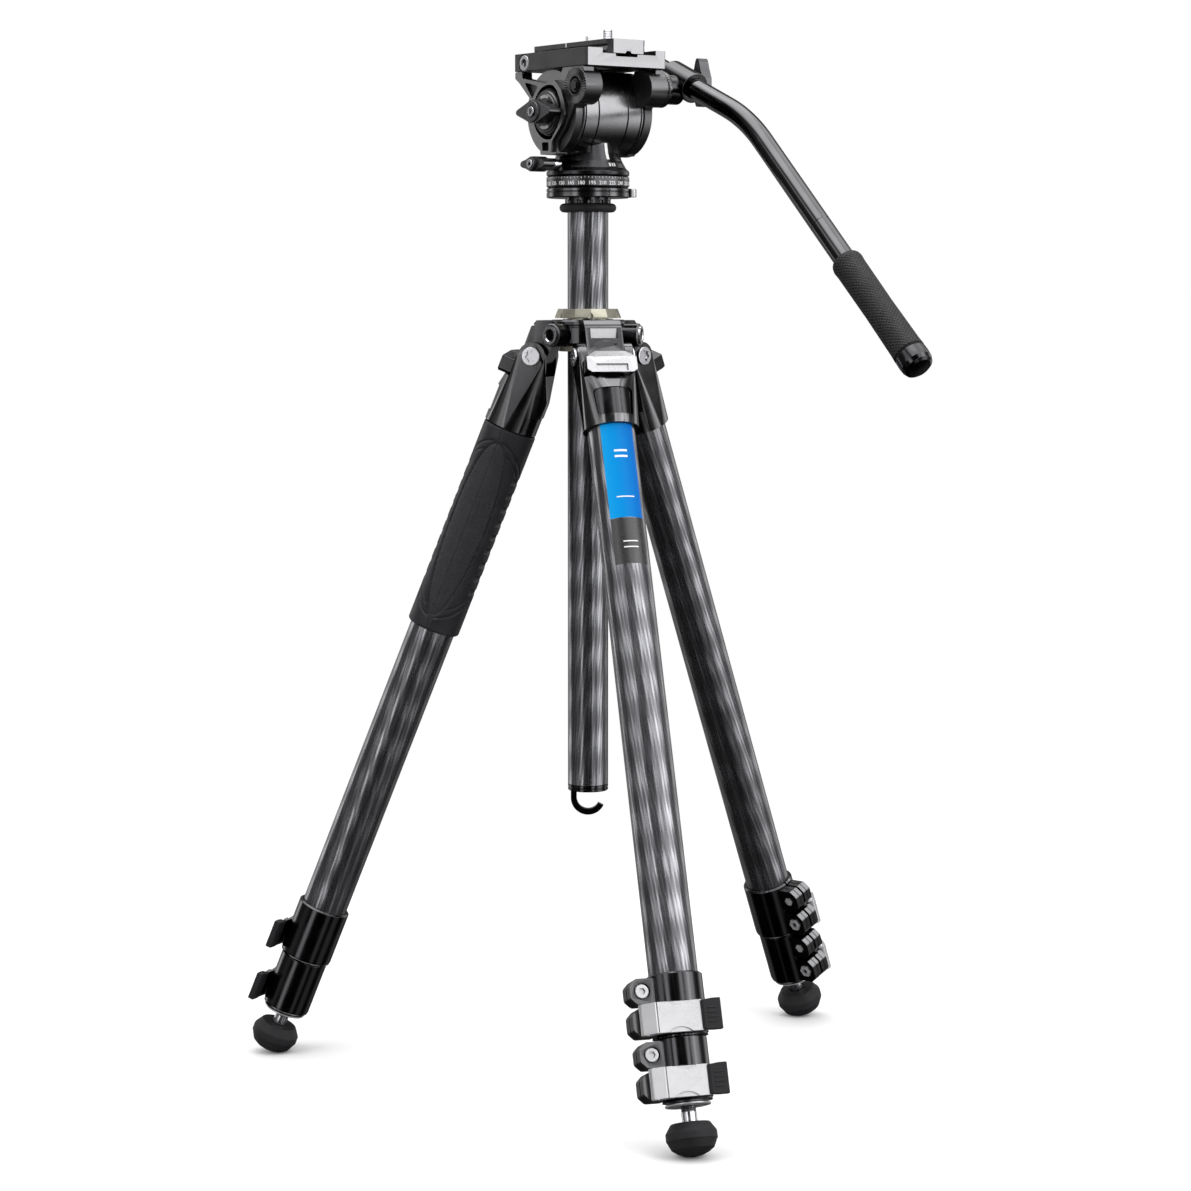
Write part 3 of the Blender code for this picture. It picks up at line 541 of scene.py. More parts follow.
def knurled(name, colour, roughness, pitch, depth):
    """Moulded rubber covered with small lozenges, their grooves painted darker and their tops lighter as
    painted shade; the pattern follows the piece's own Z axis.
    """
    n = Nodes(name, 0.0, roughness, specular=0.2)
    x, y, z = n.xyz()
    around_it = n.math("MULTIPLY", n.math("ARCTAN2", y, x), 10.0 / pitch)
    height = n.math("MULTIPLY", z, 1 / (pitch * MM))
    first = n.math("SINE", n.math("MULTIPLY", n.math("ADD", around_it, height), math.pi))
    second = n.math("SINE", n.math("MULTIPLY", n.math("SUBTRACT", around_it, height), math.pi))
    dots = n.math("MULTIPLY", n.math("ABSOLUTE", first), n.math("ABSOLUTE", second))
    blotch = n.noise(7.0, 3.0)
    # painted shade: grooves between the lozenges darker, tops lighter, with random blotches
    shade = n.math("MULTIPLY", dots, n.remap(blotch, 0.3, 0.7, 0.5, 1.0))
    n.colour(n.blend(shade, tuple(c * 0.6 for c in colour), tuple(c * 1.5 for c in colour)))
    n.roughness(n.remap(blotch, 0.3, 0.7, roughness - 0.06, roughness + 0.08))
    n.bump(n.math("ADD", dots, n.math("MULTIPLY", n.noise(0.4, 2.0), 0.4)), depth)
    return n.material


def ink(name, colour, roughness=0.4):
    n = Nodes(name, 0.0, roughness)
    speck = n.noise(1.2, 3.0)
    n.colour(n.blend(n.remap(speck, 0.3, 0.7, 0, 1), tuple(c * 0.86 for c in colour), colour))
    n.roughness(n.remap(speck, 0.3, 0.7, roughness - 0.08, roughness + 0.08))
    n.bump(speck, 0.01)
    return n.material


def printed_blue():
    """A printed band that runs from deep blue to a lighter blue round the tube."""
    n = Nodes("blue_label", 0.0, 0.4, specular=0.08)
    across = n.remap(n.xyz()[0], -0.014, 0.012, 0.0, 1.0)
    speck = n.noise(0.9, 3.0)
    base = n.blend(across, (0.0, 0.095, 0.46), (0.0, 0.27, 0.62))
    n.colour(n.blend(n.remap(speck, 0.3, 0.7, 0, 0.12), base, (0.0, 0.30, 0.70)))
    n.bump(speck, 0.008)
    return n.material


CARBON_LEG = carbon("carbon_leg", 1.0)
CARBON_COLUMN = carbon("carbon_column", -1.3)
# the edge lightening set below is part wear, part a painted highlight along the bevels
SATIN = metal("satin_black", (0.070, 0.070, 0.073), 1.0, 0.33, edge_wear_and_highlight=0.2)
DRUM = metal("drum_black", (0.14, 0.14, 0.145), 1.0, 0.25, depth=0.002, edge_wear_and_highlight=0.15)
# a darker copy of the drum's black, for the neck and foot under the drum: a painted shadow
NECK_PAINTED_SHADE = metal("neck_painted_shade", (0.028, 0.028, 0.030), 1.0, 0.25, depth=0.003, edge_wear_and_highlight=0.2)
# GREY's face colour paints the faces that look along -X lighter, a painted lit side
GREY = metal("satin_grey", (0.055, 0.055, 0.057), 1.0, 0.34, edge_wear_and_highlight=0.2, face=(0.24, 0.24, 0.245))
# a lighter copy of the satin black for the platform's and plate's rear faces: a painted lit face
PAINTED_LIT_GREY = metal("painted_lit_grey", (0.135, 0.135, 0.14), 1.0, 0.30, edge_wear_and_highlight=0.2)
GLOSS = metal("gloss_black", (0.036, 0.036, 0.038), 1.0, 0.17, depth=0.001, edge_wear_and_highlight=0.45)
LACQUER = metal("black_lacquer", (0.055, 0.055, 0.057), 1.0, 0.11, grain=0.3, depth=0.0004, edge_wear_and_highlight=0.0)
SILVER = metal("silver", (0.36, 0.36, 0.37), 0.6, 0.30, depth=0.001, edge_wear_and_highlight=0.0)
STEEL = turned_metal("steel", (0.50, 0.50, 0.52), 0.22)
CHAMPAGNE = metal("champagne", (0.22, 0.21, 0.165), 0.75, 0.30, edge_wear_and_highlight=0.2, pale=(0.55, 0.54, 0.45))
RUBBER = rubber("rubber_black", (0.008, 0.008, 0.009), 0.6)
FOAM = rubber("foam_sleeve", (0.011, 0.011, 0.013), 0.5, grain=0.8, depth=0.03)
FOAM_DOTS = knurled("foam_dots", (0.021, 0.021, 0.025), 0.55, 1.5, 0.14)
GRIP = knurled("hand_grip_rubber", (0.007, 0.007, 0.008), 0.55, 2.6, 0.3)
WHITE_INK = ink("white_ink", (0.82, 0.82, 0.82))
BLACK_INK = ink("black_ink", (0.012, 0.012, 0.013), 0.35)
BLUE = printed_blue()



# ---------------------------------------------------------------- screws and knobs

def star(lobes, outer, inner):
    """A lobed recess, such as a six-pointed drive."""
    count = lobes * 8
    points = []
    for step in range(count):
        angle = TAU * step / count
        radius = (outer + inner) / 2 + (outer - inner) / 2 * math.cos(lobes * angle)
        points.append((radius * math.cos(angle), radius * math.sin(angle)))
    return points


def hexagon(radius):
    return arc(radius, 0, 300, 5)


def socket_screw(radius, low, high, drive, lobes=0):
    """A cap screw's head standing up along Z with a hexagon or lobed recess in its top."""
    recess = star(lobes, drive, drive * 0.72) if lobes else hexagon(drive)
    depth = min(2.4, (high - low) * 0.7)
    return carve(rod(radius, low, high, edge=0.5), cuts=[prism(recess, high - depth, high + 1)], bevel=0.12)


def wing(half_length, hub, tip, low, high):
    """A two-winged knob body: full at the hub, tapering to blunt tips, long along Y."""
    side = [(hub, 0.16 * half_length), (hub * 0.6, 0.55 * half_length), (tip, half_length - tip),
            (tip * 0.5, half_length)]
    upper = side + [(-x, y) for x, y in reversed(side)]
    outline = upper + [(-x, -y) for x, y in upper]
    return prism(fillet(outline, 1.6), low, high)


def lock_knob(hub, wing_size):
    """A winged knob along +Z: hub is (radius, start, end) and wing_size (half length, start, end)."""
    radius, start, end = hub
    half_length, low, high = wing_size
    wings = wing(half_length, radius * 1.1, 2.2, low, high)
    middle = rod(radius, start, end, edge=0.8)
    recess = rod(radius * 0.62, end - 0.9, end + 1)
    return carve(wings, joins=[middle], cuts=[recess], bevel=0.9, segments=3, angle=50)


def make_knob(name, body, node, basis, hub, wings, screw):
    """A winged knob with the cap screw in its hub."""
    piece(f"{name}_body", lock_knob(hub, wings), SATIN, body, node, basis=basis)
    piece(f"{name}_screw", socket_screw(*screw), STEEL, body, basis=basis)


def tooth_share(vert, teeth):
    """1 at the bottom between two teeth and 0 on the top of one, by the angle about Z."""
    return 0.5 + 0.5 * math.cos(teeth * math.atan2(vert.co.y, vert.co.x))


def rosette(depth, low, high):
    """A disc whose top face is cut into radial teeth, about Z."""
    inner = 7.4
    outer = 12.4
    teeth = 40
    profile = [(0, high), (inner - 1.4, high), (inner, high - depth * 0.4), (inner + 0.3, high),
               (outer - 0.3, high), (outer, high - 0.5), (outer, low), (0, low)]
    disc = lathe(profile, teeth * 4)
    for vert in disc.verts:
        if math.hypot(vert.co.x, vert.co.y) > inner + 0.1 and vert.co.z > high - 0.6:
            vert.co.z -= depth * tooth_share(vert, teeth)
    return disc


# ---------------------------------------------------------------- legs

KNUCKLE_LOW, KNUCKLE_HIGH = extent("leg_right_knuckle", LEGS["right"])
PIVOT_HOLE = 3.9
LEVER_PIN_INSET = 7.0
LEVER_PIN_Y = 12.5
THREAD_END = -510.0
LEVER_GAP = 0.45
ACROSS = Matrix.Rotation(math.radians(90), 4, "Y")
UPRIGHT = Matrix.Identity(4)
CLAMPS = {
    # top, bottom, radius, reach of the ears, wide bore, narrow bore, where the two bores meet
    "upper": (-423.0, -463.0, 18.4, 32.5, 16.3, 14.35, -440.4),
    "lower": (-463.6, -503.8, 16.7, 30.5, 14.3, 12.85, -495.4),
}


def curved_panel(outline, radius, depth):
    """A cutter for a panel of this (x, z) outline in a round wall's +Y side, sunk to an even depth."""
    return carve(front_view(prism(outline, -60, 0)), cuts=[rod(radius - depth, -600, 100, steps=96)])


def knuckle_mesh():
    """The forked casting: hinge ears above, a round socket below, with a panel sunk in its outer side."""
    ear = 9.5
    wide = KNUCKLE_HIGH.x
    bottom = KNUCKLE_LOW.z
    radius = 19.0
    body = hull([(ear, (-wide, 0, 0), ACROSS), (ear, (wide, 0, 0), ACROSS),
                 (radius, (0, 0, -28), UPRIGHT), (radius, (0, 0, bottom), UPRIGHT)])
    bore = rod(16.35, bottom - 1, -24, steps=96)
    slot = block((-13.4, -30, -10), (13.4, 30, 30))
    pocket = block((-18.1, 10.1, -18.4), (18.1, 30, 14))
    pin_hole = along_x(rod(PIVOT_HOLE, -30, 30))
    panel = [(-12.2, -47.0), (12.2, -47.0), (13.8, -29.6), (12.0, -28.0), (-12.0, -28.0), (-13.8, -29.6)]
    sunk = curved_panel(fillet(panel, 2.2), radius, 0.9)
    inner_band = fillet([(-16, -60), (16, -60), (16, -41.5), (-16, -37)], 1.5)
    inner_cut = turned(curved_panel(inner_band, radius, 0.7), "Z", 180)
    cuts = [bore, slot, pocket, pin_hole, sunk, inner_cut]
    return finish_mesh(carve(body, cuts=cuts, bevel=0.45, segments=3))


def pivot_bolt_mesh():
    """The hinge pin with its two cupped heads, along X."""
    outer = 21.2
    inner = 19.5
    core = along_x(rod(3.5, -inner - 0.2, inner + 0.2))
    heads = [lay(socket_screw(6.3, inner, outer, 4.1, lobes=6)) for lay in (along_x, along_minus_x)]
    return finish_mesh(merged(core, *heads))


def angle_tab_mesh():
    """The pull-out stop: a broad plate with a sloped top, swept-back sides and a finger recess."""
    face = 19.8
    outline = fillet([(-10.5, -2.2), (10.5, -2.2), (17.5, -7.2), (17.6, -16), (14.6, -18), (-14.6, -18),
                      (-17.6, -16), (-17.5, -7.2)], 1.2)
    plate = front_view(prism(outline, -face, -10.4))
    cuts = [block((-11.0, 18.2, -17.2), (11.0, 24, -12.2)),
            turned(block((-20, 0, 0), (20, 12, 20)), "X", 30, (0, face, -7.0)),
            turned(block((-12, 0, -30), (0, 12, 30)), "Z", -22, (-12.5, face, 0)),
            turned(block((0, 0, -30), (12, 12, 30)), "Z", 22, (12.5, face, 0))]
    mesh = finish_mesh(carve(plate, cuts=cuts, bevel=0.4, segments=3))
    return paint(mesh, 1, lambda middle, normal: normal.y <= 0.25)


def tube_mesh(node, radius, wall, trim=0.0):
    """A leg tube as long as its CAD node, less trim at its lower end."""
    low, high = extent(f"leg_right_{node}", LEGS["right"])
    return finish_mesh(pipe(radius - wall, radius, low.z + trim, high.z, edge=0.25, steps=96))


def ear_mesh_parts(root, reach, high, low, facing):
    """One half of a pair of clamp ears: two plates with a groove between, on the +Y or -Y side."""
    clip = 4.2
    plate = [(root, low), (reach - clip, low), (reach, low + clip), (reach, high - clip),
             (reach - clip, high), (root, high)]
    inset = [(root, low + 0.8), (reach - clip - 0.5, low + 0.8), (reach - 0.8, low + clip + 0.5),
             (reach - 0.8, high - clip - 0.5), (reach - clip - 0.5, high - 0.8), (root, high - 0.8)]
    parts = []
    for outline, near, far in ((plate, 0.9, 3.9), (inset, 3.6, 4.7), (plate, 4.5, 8.3)):
        span = (-far, -near) if facing > 0 else (near, far)
        parts.append(front_view(prism(fillet(outline, 3.0), *span)))
    return parts


def clamp_screw_place(top, reach):
    """Where the cap screw crosses the upper ears."""
    return reach - 8.0, 0, top - 10.25


def clamp_mesh(top, bottom, radius, reach, wide, narrow, seat):
    """The split collar with its two pairs of ears, the upper pair bored for its screw."""
    profile = [(radius - 1.2, top), (radius, top - 1.0), (radius, bottom + 1.6), (radius - 0.7, bottom + 1.2),
               (radius - 0.7, bottom + 0.5), (radius - 0.2, bottom), (3.0, bottom), (3.0, top)]
    collar = soft_lathe(profile, 0.25, loop=True, bends=2)
    joins = []
    for high, low in ((top - 2.0, top - 18.5), (top - 21.0, bottom + 1.0)):
        for facing in (1, -1):
            joins += ear_mesh_parts(radius - 3.0, reach, high, low, facing)
    screw_at = clamp_screw_place(top, reach)
    cuts = [rod(wide, seat, top + 1, steps=96), rod(narrow, bottom - 1, seat + 1, steps=96),
            block((narrow - 2, -0.9, bottom - 1), (reach + 1, 0.9, top + 1)),
            turned(rod(5.3, 5.4, 12), "X", -90, screw_at), turned(rod(2.6, -12, 12), "X", -90, screw_at)]
    return finish_mesh(carve(collar, joins=joins, cuts=cuts, bevel=0.35))


def clamp_screw_mesh(top, bottom, reach):
    """The cap screw across the upper ears with its nut on the far side, and the lever's star nut below it."""
    head = socket_screw(4.5, 5.5, 8.1, 2.4)
    shank = rod(2.3, -8.1, 5.6)
    nut = prism(hexagon(3.2), -9.2, -6.9)
    x, y, z = clamp_screw_place(top, reach)
    screw = turned(merged(head, shank, nut), "X", -90, (x, y, z))
    star_nut = carve(prism(star(6, 4.6, 3.9), -9.6, -6.9), cuts=[rod(1.9, -10, -8.2)], bevel=0.2)
    return finish_mesh(merged(screw, turned(star_nut, "X", -90, (x, y, (top + bottom) / 2 - 10.0))))


def lever_mesh(radius, reach, top):
    """The cam lever: a barrel on its pin, then a bright scalloped plate across the collar's front."""
    skin = radius + LEVER_GAP
    pin_x = reach - LEVER_PIN_INSET
    barrel = arc(3.8, 225, 435, 14, (pin_x, LEVER_PIN_Y))
    plate = [(pin_x - 4, skin + 2.8), (-7.2, skin + 3.6), (-9.4, skin + 3.4), (-9.4, skin + 1.0), (0, skin),
             (pin_x - 11, skin), (pin_x - 7, skin - 4.5)]
    high = top - 19.7
    low = high - 19.6
    body = prism(fillet(barrel[:-1] + plate, 0.5, steps=3), low, high)
    cuts = []
    for edge, side in ((high, 1), (low, -1)):
        lens = [(6.0 + x, edge + side * (z + 8.2)) for x, z in arc(11.4, 200, 340, 24)]
        cuts.append(front_view(prism(lens[::-side], -60, -(skin + 2.1))))
    cuts.append(block((pin_x - 5.6, skin + 1.9, low - 1), (pin_x - 4.9, skin + 12, high + 1)))
    mesh = finish_mesh(carve(body, cuts=cuts, bevel=0.35))
    return paint(mesh, 1, lambda middle, normal: normal.y <= 0.15 and middle.x <= pin_x - 6)


def lever_tip_mesh(radius, top):
    """The black rubber thumb piece at the lever's end, flared outwards, with small raised bars."""
    skin = radius + LEVER_GAP
    outline = fillet([(-8.6, skin + 0.9), (-8.6, skin + 4.2), (-10.0, skin + 5.6), (-21.4, skin + 6.2),
                      (-21.5, skin + 2.0), (-14, skin + 0.9)], 0.9)
    high = top - 19.5
    low = high - 20.0
    clips = [turned(block((-40, 0, 0), (0, 60, 6)), "Y", 7, (-8.6, 0, high - 0.9)),
             turned(block((-40, 0, -6), (0, 60, 0)), "Y", -4, (-8.6, 0, low + 0.5))]
    shape = carve(prism(outline, low, high), cuts=clips, bevel=0.6, segments=3)
    bars = [along_x(rod(0.55, -3.2, 3.2, edge=0.4, steps=16), (-15.4, skin + 5.75, (low + high) / 2 + offset))
            for offset in (-5.0, -2.0, 1.0, 4.0)]
    return finish_mesh(merged(shape, *bars))


def lever_pin_mesh(reach, top):
    """The pin that the lever turns on."""
    high = top - 19.3
    pin = rod(1.7, high - 20.4, high, edge=0.3, steps=32)
    return finish_mesh(turned(pin, at=(reach - LEVER_PIN_INSET, LEVER_PIN_Y, 0)))


def plug_mesh(top, bottom):
    """The lower tube's end plug: a black collar and a pale flange that the foot screws into."""
    profile = [(12.2, top + 4), (13.6, top), (13.6, top - 0.9), (14.2, top - 1.1), (14.8, bottom + 1.1),
               (14.8, bottom + 0.3), (14.4, bottom), (5.4, bottom), (5.4, top + 4)]
    mesh = finish_mesh(soft_lathe(profile, 0.2, loop=True, bends=2))
    return paint(mesh, 1, lambda middle, normal: middle.z < bottom + 1.15)


def thread(top, end, pitch, radii):
    """The zigzag profile of a thread between two radii from top down to end, and the height it stops at."""
    profile = []
    z = top
    while z > end:
        profile += [(radii[0], z), (radii[1], z - pitch / 2)]
        z -= pitch
    return profile, z


def stud_mesh(top, bottom):
    """The foot's steel stud: a plain waist with rings below, a screw thread above."""
    profile, z = thread(top, THREAD_END, 1.25, (4.55, 4.98))
    waist = [(4.5, z), (4.95, z - 0.5), (4.95, bottom + 1.5), (4.5, bottom + 1.3), (4.5, bottom), (0, bottom)]
    return finish_mesh(lathe([(0, top)] + profile + waist, 64))


def foot_mesh(low, high):
    """The rubber foot: chamfered shoulder, a straight band and a dome that meets the floor."""
    wide = 16.5
    outline = [(0, high - 4.2), (5.35, high - 4.2), (5.35, high), (12.6, high), (wide - 0.2, high - 5.6),
               (wide, high - 6.4), (wide, high - 10.8), (wide - 0.6, high - 11.3)]
    dome = [(wide - 0.9, high - 12.2), (13.6, low + 5.0), (10.2, low + 2.6), (6.0, low + 0.8), (0, low)]
    return finish_mesh(soft_lathe(outline + dome, 1.0))


def from_panel(degrees):
    """The angle to the middle of the nearer of the sleeve's two oval panels, in degrees."""
    return abs((degrees + 90) % 180 - 90)


def panel_share(flat, down, length):
    """Below 1 inside the oval panel, 1 on its edge; flat is the angle from its middle in degrees."""
    half_long = 0.43 * length
    half_wide = 46.0
    taper = 0.12
    along = (down - length / 2) / half_long
    return math.sqrt(along ** 2 + (flat / (half_wide * (1.0 - taper * along))) ** 2)


def sleeve_depth(turn, down, length):
    """How far the sleeve's skin is pressed in, at an angle round it (degrees) and a distance down it."""
    def groove(distance, width, depth):
        return depth * math.exp(-(distance / width) ** 2)

    mm_per_degree = 0.327
    pads = 9
    pads_top = 0.19 * length
    pads_end = 0.81 * length
    flat = from_panel(turn)
    oval = panel_share(flat, down, length)
    pressed = groove((oval - 1.0) * 15.0, 0.55, 0.7)
    if oval < 1.0:
        pressed += 0.35
    pressed += groove(flat * mm_per_degree, 0.28, 0.35)
    for start, reach, depth in ((9.5, 21.0, 0.55), (15.0, 22.0, 0.4)):
        curve = start + reach * (flat / 90.0) ** 1.7
        slope = math.sqrt(1 + (reach * 1.7 * (flat / 90.0) ** 0.7 / 29.5) ** 2)
        if oval > 1.03:
            pressed += groove((down - curve) / slope, 0.5, depth)
            pressed += groove((length - down - curve) / slope, 0.5, depth)
    if abs(flat - 90.0) < 24 and pads_top < down < pads_end:
        phase = math.cos(TAU * (down - pads_top) / (0.62 * length / pads))
        pressed += 0.75 / (1 + math.exp(9 * (phase + 0.55)))
    return pressed


def foam_grip_mesh(low, high):
    """The moulded sleeve: a sunk oval panel each side, a parting seam, swept lines and finger pads."""
    bm = bmesh.new()
    length = high - low
    rows = 300
    steps = 180
    outer = 18.7
    inner = 16.3
    turns = [TAU * step / steps for step in range(steps)]
    rings = []
    for row in range(rows + 1):
        down = length * row / rows
        pull = 1.1 * max(0.0, 1 - min(down, length - down) / 1.6) ** 2
        radii = [outer - pull - sleeve_depth(math.degrees(turn), down, length) for turn in turns]
        rings.append([bm.verts.new((radius * math.cos(turn), radius * math.sin(turn), high - down))
                      for radius, turn in zip(radii, turns)])
    for z in (low, high):
        rings.append([bm.verts.new((inner * math.cos(turn), inner * math.sin(turn), z)) for turn in turns])
    for upper, lower in zip(rings, rings[1:] + rings[:1]):
        join_rings(bm, upper, lower)
    bmesh.ops.recalc_face_normals(bm, faces=bm.faces)

    def in_panel(middle, normal):
        flat = from_panel(math.degrees(math.atan2(middle.y, middle.x)))
        return panel_share(flat, high - middle.z, length) ** 2 < 0.97

    return paint(finish_mesh(bm, smooth=60), 1, in_panel)


def band_mesh(radius, low, high, half_turn, steps=48):
    """A thin printed band that wraps part of a tube on its +Y side; half_turn is in degrees."""
    outer = arc(radius + 0.10, 90 - half_turn, 90 + half_turn, steps)
    inner = arc(radius - 0.15, 90 + half_turn, 90 - half_turn, steps)
    return prism(outer + inner, low, high)


def label_pieces(leg, basis):
    """Two printed bands with plain generic marks on the leg's outer side."""
    radius = 16.0
    top = KNUCKLE_LOW.z - 0.2
    piece(f"{leg}_label_blue", band_mesh(radius, top - 66, top, 44), BLUE, leg, basis=basis)
    piece(f"{leg}_label_black", band_mesh(radius, top - 98, top - 66.3, 44), BLACK_INK, leg, basis=basis)
    lines = ((-20, -18.6, 16), (-24, -22.6, 16), (-52, -51.2, 22), (-83, -82.2, 18), (-87, -86.2, 18))
    marks = [band_mesh(radius + 0.14, top + low, top + high, half, 16) for low, high, half in lines]
    piece(f"{leg}_label_lines", merged(*marks), WHITE_INK, leg, basis=basis)


def shared_leg_parts():
    """What every leg has: a piece's name, mesh and materials, then the endings of its body and CAD node."""
    plug_bottom = extent("leg_right_lower_tube", LEGS["right"])[0].z
    foot_low, foot_high = extent("leg_right_foot", LEGS["right"])
    stud_low, stud_high = extent("leg_right_foot_stud", LEGS["right"])
    parts = [
        ("knuckle_shell", knuckle_mesh(), GLOSS, "", "knuckle"),
        ("pivot_pin", pivot_bolt_mesh(), STEEL, "", "pivot_bolt"),
        ("stop_tab", angle_tab_mesh(), [SILVER, GLOSS], "_tab", "angle_tab"),
        ("top_tube", tube_mesh("upper_tube", 16.0, 1.5), CARBON_LEG, "", "upper_tube"),
        ("middle_tube", tube_mesh("mid_tube", 14.0, 1.3), CARBON_LEG, "_mid", "mid_tube"),
        ("bottom_tube", tube_mesh("lower_tube", 12.5, 1.2, trim=6), CARBON_LEG, "_lower", "lower_tube"),
        ("end_plug", plug_mesh(-504.2, plug_bottom), [SATIN, SILVER], "_lower", None),
        ("foot_screw", stud_mesh(stud_high.z, stud_low.z), STEEL, "_foot", "foot_stud"),
        ("rubber_foot", foot_mesh(foot_low.z, foot_high.z), RUBBER, "_foot", "foot"),
    ]
    for level, body in (("upper", ""), ("lower", "_mid")):
        top, bottom, radius, reach = CLAMPS[level][:4]
        lever = f"_{level}_lever"
        parts += [
            (f"{level}_collar", clamp_mesh(*CLAMPS[level]), GLOSS, body, f"{level}_clamp"),
            (f"{level}_cap_screw", clamp_screw_mesh(top, bottom, reach), SILVER, body, None),
            (f"{level}_cam_lever", lever_mesh(radius, reach, top), [SILVER, GLOSS], lever, lever[1:]),
            (f"{level}_lever_tip", lever_tip_mesh(radius, top), RUBBER, lever, None),
            (f"{level}_lever_pin", lever_pin_mesh(reach, top), STEEL, body, None),
        ]
    return parts


def make_legs():
    parts = shared_leg_parts()
    for side, basis in LEGS.items():
        leg = f"leg_{side}"
        for name, mesh, materials, body, node in parts:
            nodes = [f"{leg}_{node}"] if node else []
            slot = "stainless_steel" if name.endswith("screw") else None
            piece(f"{leg}_{name}", mesh.copy(), materials, leg + body, *nodes, basis=basis, slot=slot)
    label_pieces("leg_rear", LEGS["rear"])
    low, high = extent("leg_front_foam_grip", LEGS["front"])
    piece("leg_front_grip_sleeve", foam_grip_mesh(low.z, high.z), [FOAM, FOAM_DOTS], "leg_front",
          "leg_front_foam_grip", basis=LEGS["front"])


# ---------------------------------------------------------------- shoulder and column

PORT_HEIGHT = 515.5


def leg_azimuth(side):
    """The direction a leg leaves the column, in degrees."""
    out = COLUMN.inverted() @ LEGS[side].translation
    return math.degrees(math.atan2(out.y, out.x))


def shoulder_mesh():
    """The hub casting: a ring, three drooping tongues with sunk facets painted silver as a painted
    reflection, and three port bosses.
    """
    low = 509.0
    high = 526.0
    pivot = 35.2
    pivot_z = 501.0
    glint_floor_at = pivot + 1.7
    rim = [(15.0, high), (24.6, high), (26.0, high - 1.4), (26.0, high - 3.4), (25.2, high - 4.0),
           (25.2, high - 5.0), (26.0, high - 5.6), (26.0, low + 1), (25, low), (15.0, low)]
    joins = []
    cuts = [rod(17.6, low - 20, high + 1, steps=96)]
    outwards = []
    for side in SIDES_OF_TRIPOD:
        azimuth = leg_azimuth(side)
        circles = [(9.0, (x, pivot, pivot_z), ACROSS) for x in (-13.0, 13.0)]
        corners = []
        for x in (-13.0, 13.0):
            corners += [(x, 22, low), (x, 22, high - 0.4), (x, pivot + 2, 512), (x, pivot + 2, 521),
                        (x, pivot - 2, high - 0.4)]
        joins.append(turned(hull(circles, corners), "Z", azimuth - 90))
        outward = Vector((math.cos(math.radians(azimuth)), math.sin(math.radians(azimuth)), 0))
        outwards.append(outward)
        groove = block((-15, pivot - 0.4, 522.0), (15, pivot + 6, 523.0))
        lens = arc(26, 250, 290, 16, (0, 534.2)) + arc(26, 70, 110, 16, (0, 485.4))
        slot = front_view(prism(lens, -60, -(pivot + 3.5)))
        facet = block((-9.5, glint_floor_at, 513.8), (9.5, pivot + 6, 520.4))
        cuts += [turned(cut, "Z", azimuth - 90) for cut in (groove, slot, facet)]
        cuts.append(turned(along_x(rod(PIVOT_HOLE, -20, 20)), "Z", azimuth - 90,
                           outward * pivot + Vector((0, 0, pivot_z))))
        port = along_x(rod(8.0, 20.0, 36.0, edge=0.6, steps=64), (0, 0, PORT_HEIGHT))
        port_bore = along_x(rod(5.2, 26, 40), (0, 0, PORT_HEIGHT))
        joins.append(turned(port, "Z", azimuth + 60))
        cuts.append(turned(port_bore, "Z", azimuth + 60))
    hub = soft_lathe(rim, 0.3, loop=True, bends=2)
    mesh = finish_mesh(carve(hub, joins=joins, cuts=cuts, bevel=0.45, segments=3))
    # the sunk facets' floors take silver: a painted reflection of a flat face
    return paint(mesh, 1, lambda middle, normal: 513.9 < middle.z < 520.3
                 and any(abs(middle.dot(outward) - glint_floor_at) < 0.05 for outward in outwards))


def port_ring():
    """The knurled ring round a port's threaded insert."""
    teeth = 40
    ring = lathe([(5.4, 36.6), (7.4, 36.6), (8.0, 36.0), (8.0, 32.5), (5.4, 32.5)], teeth * 4, loop=True)
    for vert in ring.verts:
        radius = math.hypot(vert.co.x, vert.co.y)
        if radius > 7.0:
            share = (radius - 0.28 * tooth_share(vert, teeth)) / radius
            vert.co.x *= share
            vert.co.y *= share
    return ring


def make_shoulder():
    piece("shoulder_casting", shoulder_mesh(), [GLOSS, SILVER], "shoulder", "shoulder")
    insert = [(6.2, 38.0), (6.2, 33), (5.1, 33), (5.1, 26.5), (3.9, 26.5), (3.9, 37.4), (4.4, 38.0)]
    for side in SIDES_OF_TRIPOD:
        turn = Matrix.Rotation(math.radians(leg_azimuth(side) + 60), 4, "Z")
        basis = on_column((0, 0, PORT_HEIGHT)) @ turn @ ACROSS
        piece(f"shoulder_port_insert_{side}", lathe(insert, 64, loop=True), STEEL, "shoulder", basis=basis)
        piece(f"shoulder_port_ring_{side}", port_ring(), SATIN, "shoulder", basis=basis)
    bush = [(14.4, 526.6), (17.2, 526.6), (17.2, 508.6), (19.4, 508.6), (20, 508.0), (20, 506.9),
            (19.3, 506.6), (19.3, 506.0), (20, 505.7), (20, 504.8), (19.5, 504.3), (14.4, 504.3)]
    piece("shoulder_bush", lathe(bush, 96, loop=True), CHAMPAGNE, "shoulder", "column_bush")


def collar_mesh():
    """The twelve-sided locking collar, with a bright bevel and finger scoops between its flats."""
    low = 527.0
    high = 533.4
    body = lathe([(15.0, high), (20.6, high), (22.8, low + 1.0), (22.8, low), (15.0, low)], 12, loop=True)
    scoops = around(turned(rod(3.4, low - 2, high + 4, steps=32), at=(25.0, 0, 0)), 6)
    return finish_mesh(carve(body, cuts=[scoops], bevel=0.35, angle=14), smooth=20)


def column_tube():
    """The centre column with its anti-turn groove."""
    low, high = extent("column_tube", COLUMN)
    wall = pipe(12.4, 14.0, low.z, high.z, edge=0.25, steps=120)
    groove = turned(block((-1.1, 12.9, low.z - 1), (1.1, 16, high.z + 1)), "Z", 150)
    return carve(wall, cuts=[groove], bevel=0.12)


